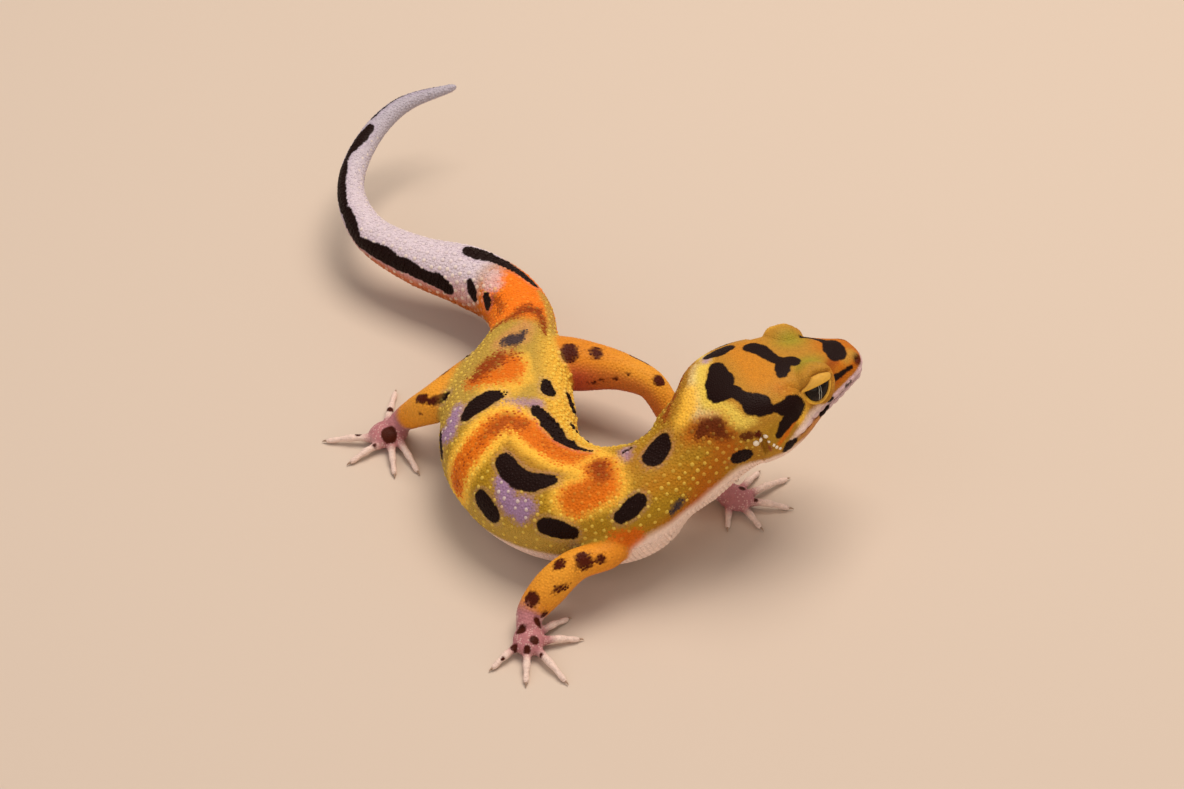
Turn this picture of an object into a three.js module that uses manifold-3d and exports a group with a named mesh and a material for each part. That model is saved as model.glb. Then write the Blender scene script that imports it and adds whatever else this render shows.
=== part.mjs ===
// Leopard gecko, a still life-size model of a young animal standing on its four feet.
// The trunk bends in a U, the head is raised and looks along +X, the tail curls up behind.
// Units are millimetres, +Z is up, and the origin is on the floor under the middle of the animal.

import * as THREE from 'three';
import { mergeVertices } from 'three/addons/utils/BufferGeometryUtils.js';
import Module from 'manifold-3d';

const wasm = await Module();
wasm.setup();

// ---------- driving dimensions ----------

const GAP = 0.3; // thin cut between neighbouring pieces
const BODY_SIDES = 22;
const TAIL_SIDES = 14;
const LIMB_SIDES = 10;
const LIMB_STEPS = 12;
const TOE_SIDES = 6;
const TOE_STEPS = 4;
const BODY_STEP = 2.6; // spacing of the body's sections along the spine
const HEAD_STEP = 1.6;
const SNOUT_RINGS = [0.12, 0.5]; // extra sections that round the snout
const TIP_RINGS = [0.4, 0.1]; // and the tail's tip, counted back from its end
const BALL_FACETS = { around: 14, down: 10 };
const PALM_FACETS = { around: 12, down: 7 };
const FLOOR_BLOCK = { wide: 200, deep: 10 };
const CUT_BLOCK = 60;

// The head's own frame: its origin is the middle of the snout's front, and its axis runs back
// through the skull. Yaw turns about +Z from +X, pitch lifts the nose, roll lowers the left side.
const HEAD = { snout: [39.8, -18.0, 25.3], yaw: 23, pitch: 11.5, roll: -8 };
const SNOUT_ROUND = 2.2; // length over which the snout rounds off
const TAIL_ROUND = 1.2;
const BLUNT_END = 0.02; // share of the full size left at the very ends
const ROLL_OUT = 10; // length of neck over which the head's roll dies away
// The nape is drawn in on its left side, behind the head: how deep, at what place and over what
// length of the spine, at what turn from the back's midline and over how many degrees.
const NAPE = { deep: 1.9, at: 24.4, reach: 2.4, turn: 75, spread: 45 };

// Head sections: distance behind the snout, half width, height above and below the axis, and how
// square the section is, from 2 for an ellipse upwards.
const HEAD_SECTIONS = [
  { back: 0, half: 3.0, top: 2.0, under: 2.3, square: 2.3 },
  { back: 3.2, half: 4.3, top: 3.1, under: 3.0, square: 2.6 },
  { back: 6.1, half: 5.6, top: 4.3, under: 3.7, square: 2.8 },
  { back: 9.3, half: 7.0, top: 5.3, under: 4.5, square: 2.9 },
  { back: 13.0, half: 9.0, top: 6.3, under: 5.6, square: 3.0 },
  { back: 17.0, half: 10.0, top: 6.8, under: 6.4, square: 3.0 },
  { back: 21.0, half: 9.8, top: 7.0, under: 6.9, square: 2.7 },
];

// Body sections: where the spine's axis passes, half width, height above and below it.
const BODY_SECTIONS = [
  { name: 'neck', at: [14.1, -31.4, 15.6], half: 6.8, top: 6.3, under: 6.8, square: 2.3 },
  { name: 'shoulder', at: [8.8, -34.0, 12.2], half: 8.0, top: 7.2, under: 7.9, square: 2.3 },
  { name: 'chest', at: [2.4, -33.7, 9.9], half: 8.4, top: 7.7, under: 8.0, square: 2.3 },
  { name: 'ribs', at: [-3.2, -31.7, 8.9], half: 9.5, top: 7.9, under: 7.9, square: 2.3 },
  { name: 'belly', at: [-8.3, -27.1, 8.5], half: 10.1, top: 7.9, under: 7.6, square: 2.3 },
  { name: 'bend', at: [-11.2, -20.9, 8.4], half: 10.3, top: 7.9, under: 7.5, square: 2.3 },
  { name: 'flank', at: [-11.4, -14.8, 8.4], half: 10.2, top: 7.7, under: 7.4, square: 2.3 },
  { name: 'loin', at: [-10.9, -7.9, 8.6], half: 9.0, top: 7.0, under: 7.0, square: 2.3 },
  { name: 'rump', at: [-10.1, -1.8, 8.9], half: 6.9, top: 6.0, under: 6.1, square: 2.3 },
  { name: 'hips', at: [-9.5, 3.6, 9.0], half: 5.4, top: 5.2, under: 5.3, square: 2.2 },
  { name: 'vent', at: [-10.0, 8.9, 8.9], half: 5.1, top: 4.9, under: 5.1, square: 2.1 },
  { name: 'tail_root', at: [-12.9, 14.9, 8.5], half: 4.9, top: 4.8, under: 4.8, square: 2.1 },
  { name: 'tail_fat', at: [-18.0, 19.3, 8.3], half: 4.9, top: 4.8, under: 4.8, square: 2.1 },
  { name: 'tail_low', at: [-26.5, 23.4, 8.4], half: 4.0, top: 3.9, under: 3.9, square: 2.1 },
  { name: 'tail_bend', at: [-34.2, 29.1, 9.2], half: 3.1, top: 3.0, under: 3.0, square: 2.1 },
  { name: 'tail_out', at: [-37.9, 38.5, 10.4], half: 2.3, top: 2.3, under: 2.3, square: 2.1 },
  { name: 'tail_turn', at: [-36.4, 48.2, 11.6], half: 2.0, top: 2.0, under: 2.0, square: 2.1 },
  { name: 'tail_thin', at: [-30.2, 57.7, 13.3], half: 1.5, top: 1.5, under: 1.5, square: 2.1 },
  { name: 'tail_tip', at: [-21.3, 60.6, 15.0], half: 0.7, top: 0.7, under: 0.7, square: 2.1 },
];

// The body is parted at these section names into its named lengths.
const LENGTHS = [
  { node: 'neck', from: 'head', to: 'shoulder' },
  { node: 'trunk_chest', from: 'shoulder', to: 'ribs' },
  { node: 'trunk_belly', from: 'ribs', to: 'bend' },
  { node: 'trunk_flank', from: 'bend', to: 'loin' },
  { node: 'trunk_hips', from: 'loin', to: 'vent' },
  { node: 'tail_base', from: 'vent', to: 'tail_low' },
  { node: 'tail_middle', from: 'tail_low', to: 'tail_turn' },
  { node: 'tail_end', from: 'tail_turn', to: 'end' },
];
const HEAD_END = 22.5; // where the head is parted from the neck, behind the snout

// Eye: a ball in a lidded socket, with a lens-shaped opening between the lids.
const EYE = { back: 9.5, out: 5.25, up: 2.55, ball: 2.7, lid: 3.5 };
const LID_OPENING = { along: 2.25, across: 2.2, high: 1.45, out: 3.2, drop: 0.45 };

// The mouth's line: height beside the axis at the snout and at the corner of the mouth.
const MOUTH = { corner: 15.0, front: -1.5, rear: -2.5 };
const MOUTH_BLOCK = { ahead: 3, below: 12, wide: 30 }; // how far the parting block reaches

// Limbs: the joints from the body outwards, each a place and a radius.
const LIMBS = [
  {
    names: ['upper_arm_right', 'forearm_right'],
    joints: [
      { at: [6.2, -36.4, 9.0], r: 3.6 },
      { at: [3.4, -42.9, 8.9], r: 2.3 },
      { at: [-1.2, -44.7, 8.5], r: 2.45 },
      { at: [-5.3, -47.0, 5.6], r: 2.7 },
      { at: [-7.9, -49.4, 2.7], r: 2.1 },
      { at: [-8.1, -51.4, 1.9], r: 1.8 },
    ],
    parted: 0.43,
  },
  {
    names: ['upper_arm_left', 'forearm_left'],
    joints: [
      { at: [6.0, -29.0, 10.5], r: 3.4 },
      { at: [9.6, -24.0, 8.8], r: 2.5 },
      { at: [13.0, -20.6, 7.0], r: 2.5 },
      { at: [17.2, -21.6, 4.6], r: 2.6 },
      { at: [20.4, -22.8, 2.6], r: 2.1 },
      { at: [21.4, -23.2, 1.9], r: 1.8 },
    ],
    parted: 0.5,
  },
  {
    names: ['thigh_right', 'shank_right'],
    joints: [
      { at: [-11.5, -1.0, 8.8], r: 4.4 },
      { at: [-17.5, -6.9, 9.3], r: 3.8 },
      { at: [-22.3, -10.6, 8.8], r: 3.1 },
      { at: [-25.7, -9.3, 5.6], r: 2.4 },
      { at: [-28.1, -8.3, 2.8], r: 1.9 },
      { at: [-29.2, -9.0, 1.9], r: 1.8 },
    ],
    parted: 0.56,
  },
  {
    names: ['thigh_left', 'shank_left'],
    joints: [
      { at: [-7.5, -1.4, 8.9], r: 4.6 },
      { at: [-1.0, -2.6, 9.3], r: 4.1 },
      { at: [6.0, -4.9, 9.8], r: 2.9 },
      { at: [9.9, -7.2, 9.4], r: 2.4 },
      { at: [12.5, -9.3, 6.2], r: 2.2 },
      { at: [14.9, -12.0, 2.7], r: 1.9 },
      { at: [15.9, -13.2, 1.9], r: 1.8 },
    ],
    parted: 0.56,
  },
];

// Hands and feet: the palm's middle, its half length, half width and heading, and each toe's
// root and tip. Toes lie on the floor, slightly arched, and end in a short claw.
const TOE = { root: 0.85, tip: 0.55, claw: 0.28, arch: 0.5, raised: 0.35, clawLength: 0.9 };
const PALM_THICK = 1.75;
const PALM_SUNK = 0.3; // cut off under the palm to make its flat
const FEET = [
  {
    node: 'hand_right',
    palm: { at: [-8.0, -52.9], long: 2.9, wide: 2.4, heading: 268 },
    toes: [
      [[-6.6, -51.2], [-2.6, -47.8]],
      [[-6.1, -52.8], [-1.0, -51.8]],
      [[-6.9, -54.4], [-2.9, -59.7]],
      [[-8.2, -55.0], [-8.3, -60.05]],
      [[-9.5, -53.8], [-13.0, -57.3]],
    ],
  },
  {
    node: 'hand_left',
    palm: { at: [22.4, -23.6], long: 2.9, wide: 2.4, heading: 335 },
    toes: [
      [[21.4, -24.8], [21.1, -28.8]],
      [[23.2, -25.1], [25.9, -28.8]],
      [[24.4, -24.2], [30.2, -24.7]],
      [[24.4, -22.7], [30.1, -18.6]],
      [[23.1, -21.9], [26.0, -17.2]],
    ],
  },
  {
    node: 'foot_right',
    palm: { at: [-30.0, -9.5], long: 3.3, wide: 2.7, heading: 205 },
    toes: [
      [[-28.2, -11.2], [-25.4, -16.6]],
      [[-29.5, -11.9], [-28.8, -17.2]],
      [[-31.2, -11.6], [-35.4, -14.7]],
      [[-32.4, -10.2], [-39.2, -10.0]],
      [[-30.4, -7.4], [-29.5, 0.8]],
    ],
  },
  {
    node: 'foot_left',
    palm: { at: [16.6, -14.0], long: 3.3, wide: 2.7, heading: 320 },
    toes: [
      [[15.9, -15.9], [14.7, -20.2]],
      [[17.3, -16.1], [17.7, -21.0]],
      [[18.5, -15.3], [22.4, -18.0]],
      [[18.9, -13.6], [25.0, -12.0]],
      [[17.5, -12.0], [20.0, -6.6]],
    ],
  },
];

const SKIN_YELLOW = { color: 0xc9922b, roughness: 0.62, metalness: 0 };
const SKIN_ORANGE = { color: 0xd9822a, roughness: 0.6, metalness: 0 };
const SKIN_PALE = { color: 0xd8cacb, roughness: 0.6, metalness: 0 };
const SKIN_PINK = { color: 0xc09a98, roughness: 0.55, metalness: 0 };
const EYE_DARK = { color: 0x1c1a18, roughness: 0.15, metalness: 0 };

// ---------- small helpers ----------

const vec = (p) => new THREE.Vector3(p[0], p[1], p[2] ?? 0);
const radians = THREE.MathUtils.degToRad;

// A smooth curve of numbers through knots: each span is the cubic that meets its neighbours'
// slopes, and a slope is the mean of the chords on both sides, weighted by the other's length.
function smoothCurve(knots, rows) {
  const last = knots.length - 1;
  const chord = (i, k) => (rows[i + 1][k] - rows[i][k]) / (knots[i + 1] - knots[i]);
  const slope = (i, k) => {
    if (i === 0) return chord(0, k);
    if (i === last) return chord(last - 1, k);
    const before = knots[i] - knots[i - 1];
    const after = knots[i + 1] - knots[i];
    return (chord(i - 1, k) * after + chord(i, k) * before) / (before + after);
  };
  return (t) => {
    let i = 0;
    while (i < last - 1 && t >= knots[i + 1]) i += 1;
    const h = knots[i + 1] - knots[i];
    const u = (t - knots[i]) / h;
    return rows[i].map((value, k) =>
      (2 * u ** 3 - 3 * u ** 2 + 1) * value +
      (u ** 3 - 2 * u ** 2 + u) * h * slope(i, k) +
      (3 * u ** 2 - 2 * u ** 3) * rows[i + 1][k] +
      (u ** 3 - u ** 2) * h * slope(i + 1, k));
  };
}

// Unit direction of a curve of places.
function directionOf(curve, t) {
  const nudge = 0.1;
  return vec(curve(t + nudge)).sub(vec(curve(t - nudge))).normalize();
}

// Running length of a chain of points.
function chainLengths(points) {
  const lengths = [0];
  for (let i = 1; i < points.length; i += 1) {
    lengths.push(lengths[i - 1] + vec(points[i]).distanceTo(vec(points[i - 1])));
  }
  return lengths;
}

// Evenly spaced numbers from a to b, with steps no longer than the given one.
function evenSteps(a, b, step) {
  const count = Math.max(1, Math.ceil((b - a) / step));
  return Array.from({ length: count + 1 }, (_, i) => a + ((b - a) * i) / count);
}

// A closed solid skin over rings of points, with a fan over each end.
function loft(rings) {
  const sides = rings[0].length;
  const points = rings.flat();
  const faces = [];
  for (let i = 0; i + 1 < rings.length; i += 1) {
    for (let j = 0; j < sides; j += 1) {
      const a = i * sides + j;
      const b = i * sides + ((j + 1) % sides);
      faces.push(a, a + sides, b, b, a + sides, b + sides);
    }
  }
  const capEnd = (first, outward) => {
    const middle = new THREE.Vector3();
    for (let j = 0; j < sides; j += 1) middle.add(points[first + j]);
    points.push(middle.divideScalar(sides));
    for (let j = 0; j < sides; j += 1) {
      const next = first + ((j + 1) % sides);
      if (outward) faces.push(points.length - 1, first + j, next);
      else faces.push(points.length - 1, next, first + j);
    }
  };
  const lastRing = (rings.length - 1) * sides;
  capEnd(0, true);
  capEnd(lastRing, false);
  const geometry = new THREE.BufferGeometry().setFromPoints(points);
  geometry.setIndex(faces);
  return geometry;
}

// ---------- solids: joining and cutting ----------

function toSolid(geometry) {
  const bare = geometry.clone();
  bare.deleteAttribute('normal');
  bare.deleteAttribute('uv');
  const merged = mergeVertices(bare, 1e-4);
  return new wasm.Manifold(new wasm.Mesh({
    numProp: 3,
    vertProperties: new Float32Array(merged.attributes.position.array),
    triVerts: new Uint32Array(merged.index.array),
  }));
}

function toGeometry(solid) {
  const mesh = solid.getMesh();
  const geometry = new THREE.BufferGeometry();
  geometry.setAttribute('position', new THREE.BufferAttribute(mesh.vertProperties, 3));
  geometry.setIndex(new THREE.BufferAttribute(mesh.triVerts, 1));
  return geometry;
}

const belowFloor = toSolid(
  new THREE.BoxGeometry(FLOOR_BLOCK.wide, FLOOR_BLOCK.wide, FLOOR_BLOCK.deep)
    .translate(0, 0, -FLOOR_BLOCK.deep / 2),
);

// ---------- the head's frame ----------

const headTurn = (() => {
  const yaw = radians(HEAD.yaw);
  const pitch = radians(HEAD.pitch);
  const forward = new THREE.Vector3(
    Math.cos(yaw) * Math.cos(pitch),
    Math.sin(yaw) * Math.cos(pitch),
    Math.sin(pitch),
  );
  const level = new THREE.Vector3(-Math.sin(yaw), Math.cos(yaw), 0);
  const left = level.applyAxisAngle(forward, radians(HEAD.roll));
  const up = new THREE.Vector3().crossVectors(forward, left);
  return new THREE.Matrix4().makeBasis(forward, left, up).setPosition(vec(HEAD.snout));
})();

// A place in the head, from how far back, left and up it is.
const headPoint = (back, left, up) => new THREE.Vector3(-back, left, up).applyMatrix4(headTurn);

// ---------- body: one tube from the snout to the tail's tip ----------

const headRows = HEAD_SECTIONS.map((s) => ({ ...s, at: headPoint(s.back, 0, 0).toArray() }));
const sections = [...headRows, ...BODY_SECTIONS];
const places = chainLengths(sections.map((s) => s.at));
const bodyLength = places.at(-1);
const axisAt = smoothCurve(places, sections.map((s) => s.at));
const sizeAt = smoothCurve(places, sections.map((s) => [s.half, s.top, s.under]));
const squareAt = smoothCurve(places, sections.map((s) => [s.square]));
const placeOf = (name) => {
  if (name === 'head') return HEAD_END;
  if (name === 'end') return bodyLength;
  return places[sections.findIndex((s) => s.name === name)];
};

// Rounds off both ends of the tube as a quarter circle does.
function endRounding(s) {
  const fromSnout = Math.min(1, s / SNOUT_ROUND);
  const fromTip = Math.min(1, (bodyLength - s) / TAIL_ROUND);
  const quarter = (u) => Math.sqrt(Math.max(0, 1 - (1 - u) ** 2));
  return Math.max(BLUNT_END, quarter(fromSnout) * quarter(fromTip));
}

// How far the skin is drawn in at a place and an angle from the body's left side upwards.
function drawnIn(s, angle) {
  const bell = (offset, reach) => Math.exp(-((offset / reach) ** 2));
  const turn = ((450 - THREE.MathUtils.radToDeg(angle) + 180) % 360) - 180;
  return NAPE.deep * bell(s - NAPE.at, NAPE.reach) * bell(turn - NAPE.turn, NAPE.spread);
}

// One section: a superellipse with its own heights above and below, at right angles to the spine,
// rolled with the head and level along the body.
function bodyRing(s, sides, extra) {
  const centre = vec(axisAt(s));
  const tangent = directionOf(axisAt, s);
  const level = Math.max(0, Math.min(1, (placeOf('neck') - s) / ROLL_OUT));
  const roll = radians(HEAD.roll) * level;
  const left = new THREE.Vector3().crossVectors(tangent, new THREE.Vector3(0, 0, 1)).normalize();
  left.applyAxisAngle(tangent, -roll);
  const up = new THREE.Vector3().crossVectors(left, tangent);
  const [half, top, under] = sizeAt(s).map((value) => value * endRounding(s) + extra);
  const swell = 2 / squareAt(s)[0];
  const rounded = (value) => Math.sign(value) * Math.abs(value) ** swell;
  return Array.from({ length: sides }, (_, j) => {
    const angle = (2 * Math.PI * j) / sides;
    const high = Math.sin(angle) > 0 ? top : under;
    const reach = left.clone().multiplyScalar(half * rounded(Math.cos(angle)))
      .addScaledVector(up, high * rounded(Math.sin(angle)));
    return centre.clone().add(reach.setLength(reach.length() - drawnIn(s, angle)));
  });
}

// Section places between two points of the body, closer together in the head and at the ends.
function bodySteps(from, to) {
  const step = to <= HEAD_END ? HEAD_STEP : BODY_STEP;
  const steps = evenSteps(from, to, step);
  if (from === 0) steps.splice(1, 0, ...SNOUT_RINGS);
  if (to === bodyLength) steps.splice(-1, 0, ...TIP_RINGS.map((back) => to - back));
  return steps;
}

function bodyLengthSolid(from, to, sides, extra = 0) {
  return toSolid(loft(bodySteps(from, to).map((s) => bodyRing(s, sides, extra))));
}

// ---------- limbs ----------

// The smooth axis of a chain of joints, its whole length, and its direction at a place.
function limbAxis(joints) {
  const lengths = chainLengths(joints.map((joint) => joint.at));
  const axis = smoothCurve(lengths, joints.map((joint) => joint.at));
  const direction = (s) => directionOf(axis, s);
  return { lengths, total: lengths.at(-1), axis, direction };
}

// A round tube along a chain of joints.
function limbSolid(joints, sides, steps) {
  const { lengths, total, axis, direction } = limbAxis(joints);
  const radius = smoothCurve(lengths, joints.map((joint) => [joint.r]));
  let across = new THREE.Vector3(0, 0, 1);
  const rings = evenSteps(0, total, total / steps).map((s) => {
    const tangent = direction(s);
    across = across.clone().projectOnPlane(tangent).normalize();
    const other = new THREE.Vector3().crossVectors(across, tangent);
    const [r] = radius(s);
    return Array.from({ length: sides }, (_, j) => {
      const angle = (2 * Math.PI * j) / sides;
      return vec(axis(s))
        .addScaledVector(across, r * Math.cos(angle))
        .addScaledVector(other, r * Math.sin(angle));
    });
  });
  return toSolid(loft(rings));
}

// Everything beyond a plane square to the limb at a share of its length, moved along by a lift.
function beyondCut(joints, share, lift) {
  const { total, axis, direction } = limbAxis(joints);
  const normal = direction(share * total);
  const centre = vec(axis(share * total)).addScaledVector(normal, CUT_BLOCK / 2 + lift);
  const turn = new THREE.Quaternion().setFromUnitVectors(new THREE.Vector3(0, 0, 1), normal);
  const block = new THREE.BoxGeometry(CUT_BLOCK, CUT_BLOCK, CUT_BLOCK).applyQuaternion(turn);
  return toSolid(block.translate(centre.x, centre.y, centre.z));
}

// A toe lies on the floor from its root to its claw, arched a little in the middle.
function toeSolid([root, tip]) {
  const heading = new THREE.Vector2(tip[0] - root[0], tip[1] - root[1]).normalize();
  const middle = [(root[0] + tip[0]) / 2, (root[1] + tip[1]) / 2, TOE.root + TOE.arch];
  const clawEnd = [
    tip[0] + heading.x * TOE.clawLength,
    tip[1] + heading.y * TOE.clawLength,
    TOE.claw,
  ];
  const joints = [
    { at: [root[0], root[1], TOE.root + TOE.raised], r: TOE.root },
    { at: middle, r: (TOE.root + TOE.tip) / 2 },
    { at: [tip[0], tip[1], TOE.tip], r: TOE.tip },
    { at: clawEnd, r: TOE.claw },
  ];
  return limbSolid(joints, TOE_SIDES, TOE_STEPS);
}

// A low rounded palm, its underside just below the floor, grown all round by extra.
function palmSolid({ at, long, wide, heading }, extra = 0) {
  return toSolid(new THREE.SphereGeometry(1, PALM_FACETS.around, PALM_FACETS.down)
    .rotateX(Math.PI / 2)
    .scale(long + extra, wide + extra, PALM_THICK + extra)
    .rotateZ(radians(heading))
    .translate(at[0], at[1], PALM_THICK - PALM_SUNK));
}

// A hand or foot: the palm with its toes joined on, cut flat where it meets the floor.
function footSolid({ palm, toes }) {
  const joined = toes.reduce((foot, toe) => foot.add(toeSolid(toe)), palmSolid(palm));
  return joined.subtract(belowFloor);
}

// ---------- head: lids, sockets and the jaw's parting ----------

function ballInHead(side, radius) {
  const place = headPoint(EYE.back, side * EYE.out, EYE.up);
  return toSolid(new THREE.SphereGeometry(radius, BALL_FACETS.around, BALL_FACETS.down)
    .translate(place.x, place.y, place.z));
}

function lidOpening(side) {
  const shape = new THREE.SphereGeometry(1, BALL_FACETS.around, BALL_FACETS.down)
    .scale(LID_OPENING.along, LID_OPENING.across, LID_OPENING.high)
    .translate(-EYE.back, side * (EYE.out + LID_OPENING.out), EYE.up - LID_OPENING.drop)
    .applyMatrix4(headTurn);
  return toSolid(shape);
}

// The block under the mouth's line, from in front of the snout to the mouth's corner. A lift moves
// its upper face and its rear face.
function underMouth(lift) {
  const rearX = -MOUTH.corner - lift;
  const frontX = MOUTH_BLOCK.ahead;
  const slope = (MOUTH.front - MOUTH.rear) / MOUTH.corner;
  const heightAt = (x) => MOUTH.front + slope * x + lift;
  const outline = new THREE.Shape([
    new THREE.Vector2(rearX, -MOUTH_BLOCK.below),
    new THREE.Vector2(frontX, -MOUTH_BLOCK.below),
    new THREE.Vector2(frontX, heightAt(frontX)),
    new THREE.Vector2(rearX, heightAt(rearX)),
  ]);
  const { wide } = MOUTH_BLOCK;
  const block = new THREE.ExtrudeGeometry(outline, { depth: wide, bevelEnabled: false });
  block.rotateX(Math.PI / 2).translate(0, wide / 2, 0).applyMatrix4(headTurn);
  return toSolid(block);
}

// ---------- assembly ----------

const gecko = new THREE.Group();

function addPiece(name, solid, look) {
  const material = new THREE.MeshStandardMaterial({ ...look, flatShading: true });
  const mesh = new THREE.Mesh(toGeometry(solid), material);
  mesh.name = name;
  gecko.add(mesh);
}

// The skull with both lids, hollowed for the eyeballs and parted from the lower jaw.
const sides = { left: 1, right: -1 };
let skull = bodyLengthSolid(0, HEAD_END - GAP / 2, BODY_SIDES);
for (const side of Object.values(sides)) {
  skull = skull.add(ballInHead(side, EYE.lid));
}
for (const side of Object.values(sides)) {
  skull = skull.subtract(ballInHead(side, EYE.ball + GAP)).subtract(lidOpening(side));
}
addPiece('head', skull.subtract(underMouth(GAP)), SKIN_YELLOW);
addPiece('jaw_lower', skull.intersect(underMouth(0)), SKIN_PALE);
for (const [name, side] of Object.entries(sides)) {
  addPiece(`eye_${name}`, ballInHead(side, EYE.ball), EYE_DARK);
}

// Neck, trunk and tail, each length ending half a gap short of its neighbour.
for (const { node, from, to } of LENGTHS) {
  const start = placeOf(from) + GAP / 2;
  const end = to === 'end' ? bodyLength : placeOf(to) - GAP / 2;
  const isTail = node.startsWith('tail');
  const count = isTail ? TAIL_SIDES : BODY_SIDES;
  addPiece(node, bodyLengthSolid(start, end, count), isTail ? SKIN_PALE : SKIN_YELLOW);
}

// Limbs end a gap short of the trunk and of their hand or foot.
const trunkClearance = bodyLengthSolid(
  HEAD_END, placeOf('tail_root'), BODY_SIDES, GAP,
);
const footSolids = FEET.map(footSolid);
LIMBS.forEach(({ names, joints, parted }, i) => {
  const whole = limbSolid(joints, LIMB_SIDES, LIMB_STEPS)
    .subtract(trunkClearance)
    .subtract(palmSolid(FEET[i].palm, GAP))
    .subtract(footSolids[i])
    .subtract(belowFloor);
  addPiece(names[0], whole.subtract(beyondCut(joints, parted, -GAP / 2)), SKIN_ORANGE);
  addPiece(names[1], whole.intersect(beyondCut(joints, parted, GAP / 2)), SKIN_ORANGE);
  addPiece(FEET[i].node, footSolids[i], SKIN_PINK);
});

export default gecko;
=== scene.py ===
import math

import bpy
import numpy as np
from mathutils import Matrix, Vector
from mathutils.bvhtree import BVHTree
from mathutils.kdtree import KDTree


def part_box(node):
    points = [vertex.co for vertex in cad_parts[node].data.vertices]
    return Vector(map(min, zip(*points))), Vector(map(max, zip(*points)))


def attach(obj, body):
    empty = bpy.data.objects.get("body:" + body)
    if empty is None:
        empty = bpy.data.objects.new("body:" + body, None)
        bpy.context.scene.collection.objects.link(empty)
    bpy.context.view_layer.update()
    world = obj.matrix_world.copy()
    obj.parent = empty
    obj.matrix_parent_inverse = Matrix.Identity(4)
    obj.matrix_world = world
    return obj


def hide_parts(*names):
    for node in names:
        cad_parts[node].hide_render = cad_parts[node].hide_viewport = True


# Leopard gecko: the looks of a still, life-size model of a young animal. One skin covers head, neck,
# trunk, tail and limbs, and a coat of granules, tubercles and belly scales lies on it. The shapes are
# worked out in millimetres in the part's own frame and turned to metres when a mesh is made.

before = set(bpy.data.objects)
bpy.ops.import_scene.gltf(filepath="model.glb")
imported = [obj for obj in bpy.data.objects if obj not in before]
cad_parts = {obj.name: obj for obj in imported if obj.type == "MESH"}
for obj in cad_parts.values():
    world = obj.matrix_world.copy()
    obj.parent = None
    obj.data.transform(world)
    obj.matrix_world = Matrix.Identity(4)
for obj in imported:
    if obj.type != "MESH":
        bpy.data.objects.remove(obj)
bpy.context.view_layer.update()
MM = 0.001
chance = np.random.default_rng(7)

# ---------------------------------------------------------------- sizes, in millimetres

# The head's own frame: its origin is the middle of the snout's front and its axis runs back through
# the skull. Yaw turns about +Z from +X, pitch lifts the nose, and roll lowers the left side.
HEAD = {"snout": (39.8, -18.0, 25.3), "yaw": 23.0, "pitch": 11.5, "roll": -8.0}

# The lengths over which the snout and the tail's tip are rounded and the head's roll fades out, and
# how many points are worked on at once.
SNOUT_ROUND = 2.2
TAIL_ROUND = 1.2
ROLL_OUT = 10.0
BLOCK = 20000

# The nape is drawn in on its left side: how deep, at what place and over what length of the spine,
# at what turn and over how many degrees.
NAPE = {"deep": 1.9, "at": 24.4, "reach": 2.4, "turn": 75.0, "spread": 45.0}

# Head sections: how far behind the snout, half width, height above and below the axis, squareness.
HEAD_SECTIONS = (
    (0.0, 3.0, 2.0, 2.3, 2.3),
    (3.2, 4.3, 3.1, 3.0, 2.6),
    (6.1, 5.6, 4.3, 3.7, 2.8),
    (9.3, 7.0, 5.3, 4.5, 2.9),
    (13.0, 9.0, 6.3, 5.6, 3.0),
    (17.0, 10.0, 6.8, 6.4, 3.0),
    (21.0, 9.8, 7.0, 6.9, 2.7),
)

# Body sections from the neck to the tail's tip: a place on the spine's axis, then the same sizes.
BODY_SECTIONS = {
    "neck": ((14.1, -31.4, 15.6), 6.8, 6.3, 6.8, 2.3),
    "shoulder": ((8.8, -34.0, 12.2), 8.0, 7.2, 7.9, 2.3),
    "chest": ((2.4, -33.7, 9.9), 8.4, 7.7, 8.0, 2.3),
    "ribs": ((-3.2, -31.7, 8.9), 9.5, 7.9, 7.9, 2.3),
    "belly": ((-8.3, -27.1, 8.5), 10.1, 7.9, 7.6, 2.3),
    "bend": ((-11.2, -20.9, 8.4), 10.3, 7.9, 7.5, 2.3),
    "flank": ((-11.4, -14.8, 8.4), 10.2, 7.7, 7.4, 2.3),
    "loin": ((-10.9, -7.9, 8.6), 9.0, 7.0, 7.0, 2.3),
    "rump": ((-10.1, -1.8, 8.9), 6.9, 6.0, 6.1, 2.3),
    "hips": ((-9.5, 3.6, 9.0), 5.4, 5.2, 5.3, 2.2),
    "vent": ((-10.0, 8.9, 8.9), 5.1, 4.9, 5.1, 2.1),
    "tail_root": ((-12.9, 14.9, 8.5), 4.9, 4.8, 4.8, 2.1),
    "tail_fat": ((-18.0, 19.3, 8.3), 4.9, 4.8, 4.8, 2.1),
    "tail_low": ((-26.5, 23.4, 8.4), 4.0, 3.9, 3.9, 2.1),
    "tail_bend": ((-34.2, 29.1, 9.2), 3.1, 3.0, 3.0, 2.1),
    "tail_out": ((-37.9, 38.5, 10.4), 2.3, 2.3, 2.3, 2.1),
    "tail_turn": ((-36.4, 48.2, 11.6), 2.0, 2.0, 2.0, 2.1),
    "tail_thin": ((-30.2, 57.7, 13.3), 1.5, 1.5, 1.5, 2.1),
    "tail_tip": ((-21.3, 60.6, 15.0), 0.7, 0.7, 0.7, 2.1),
}

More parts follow.
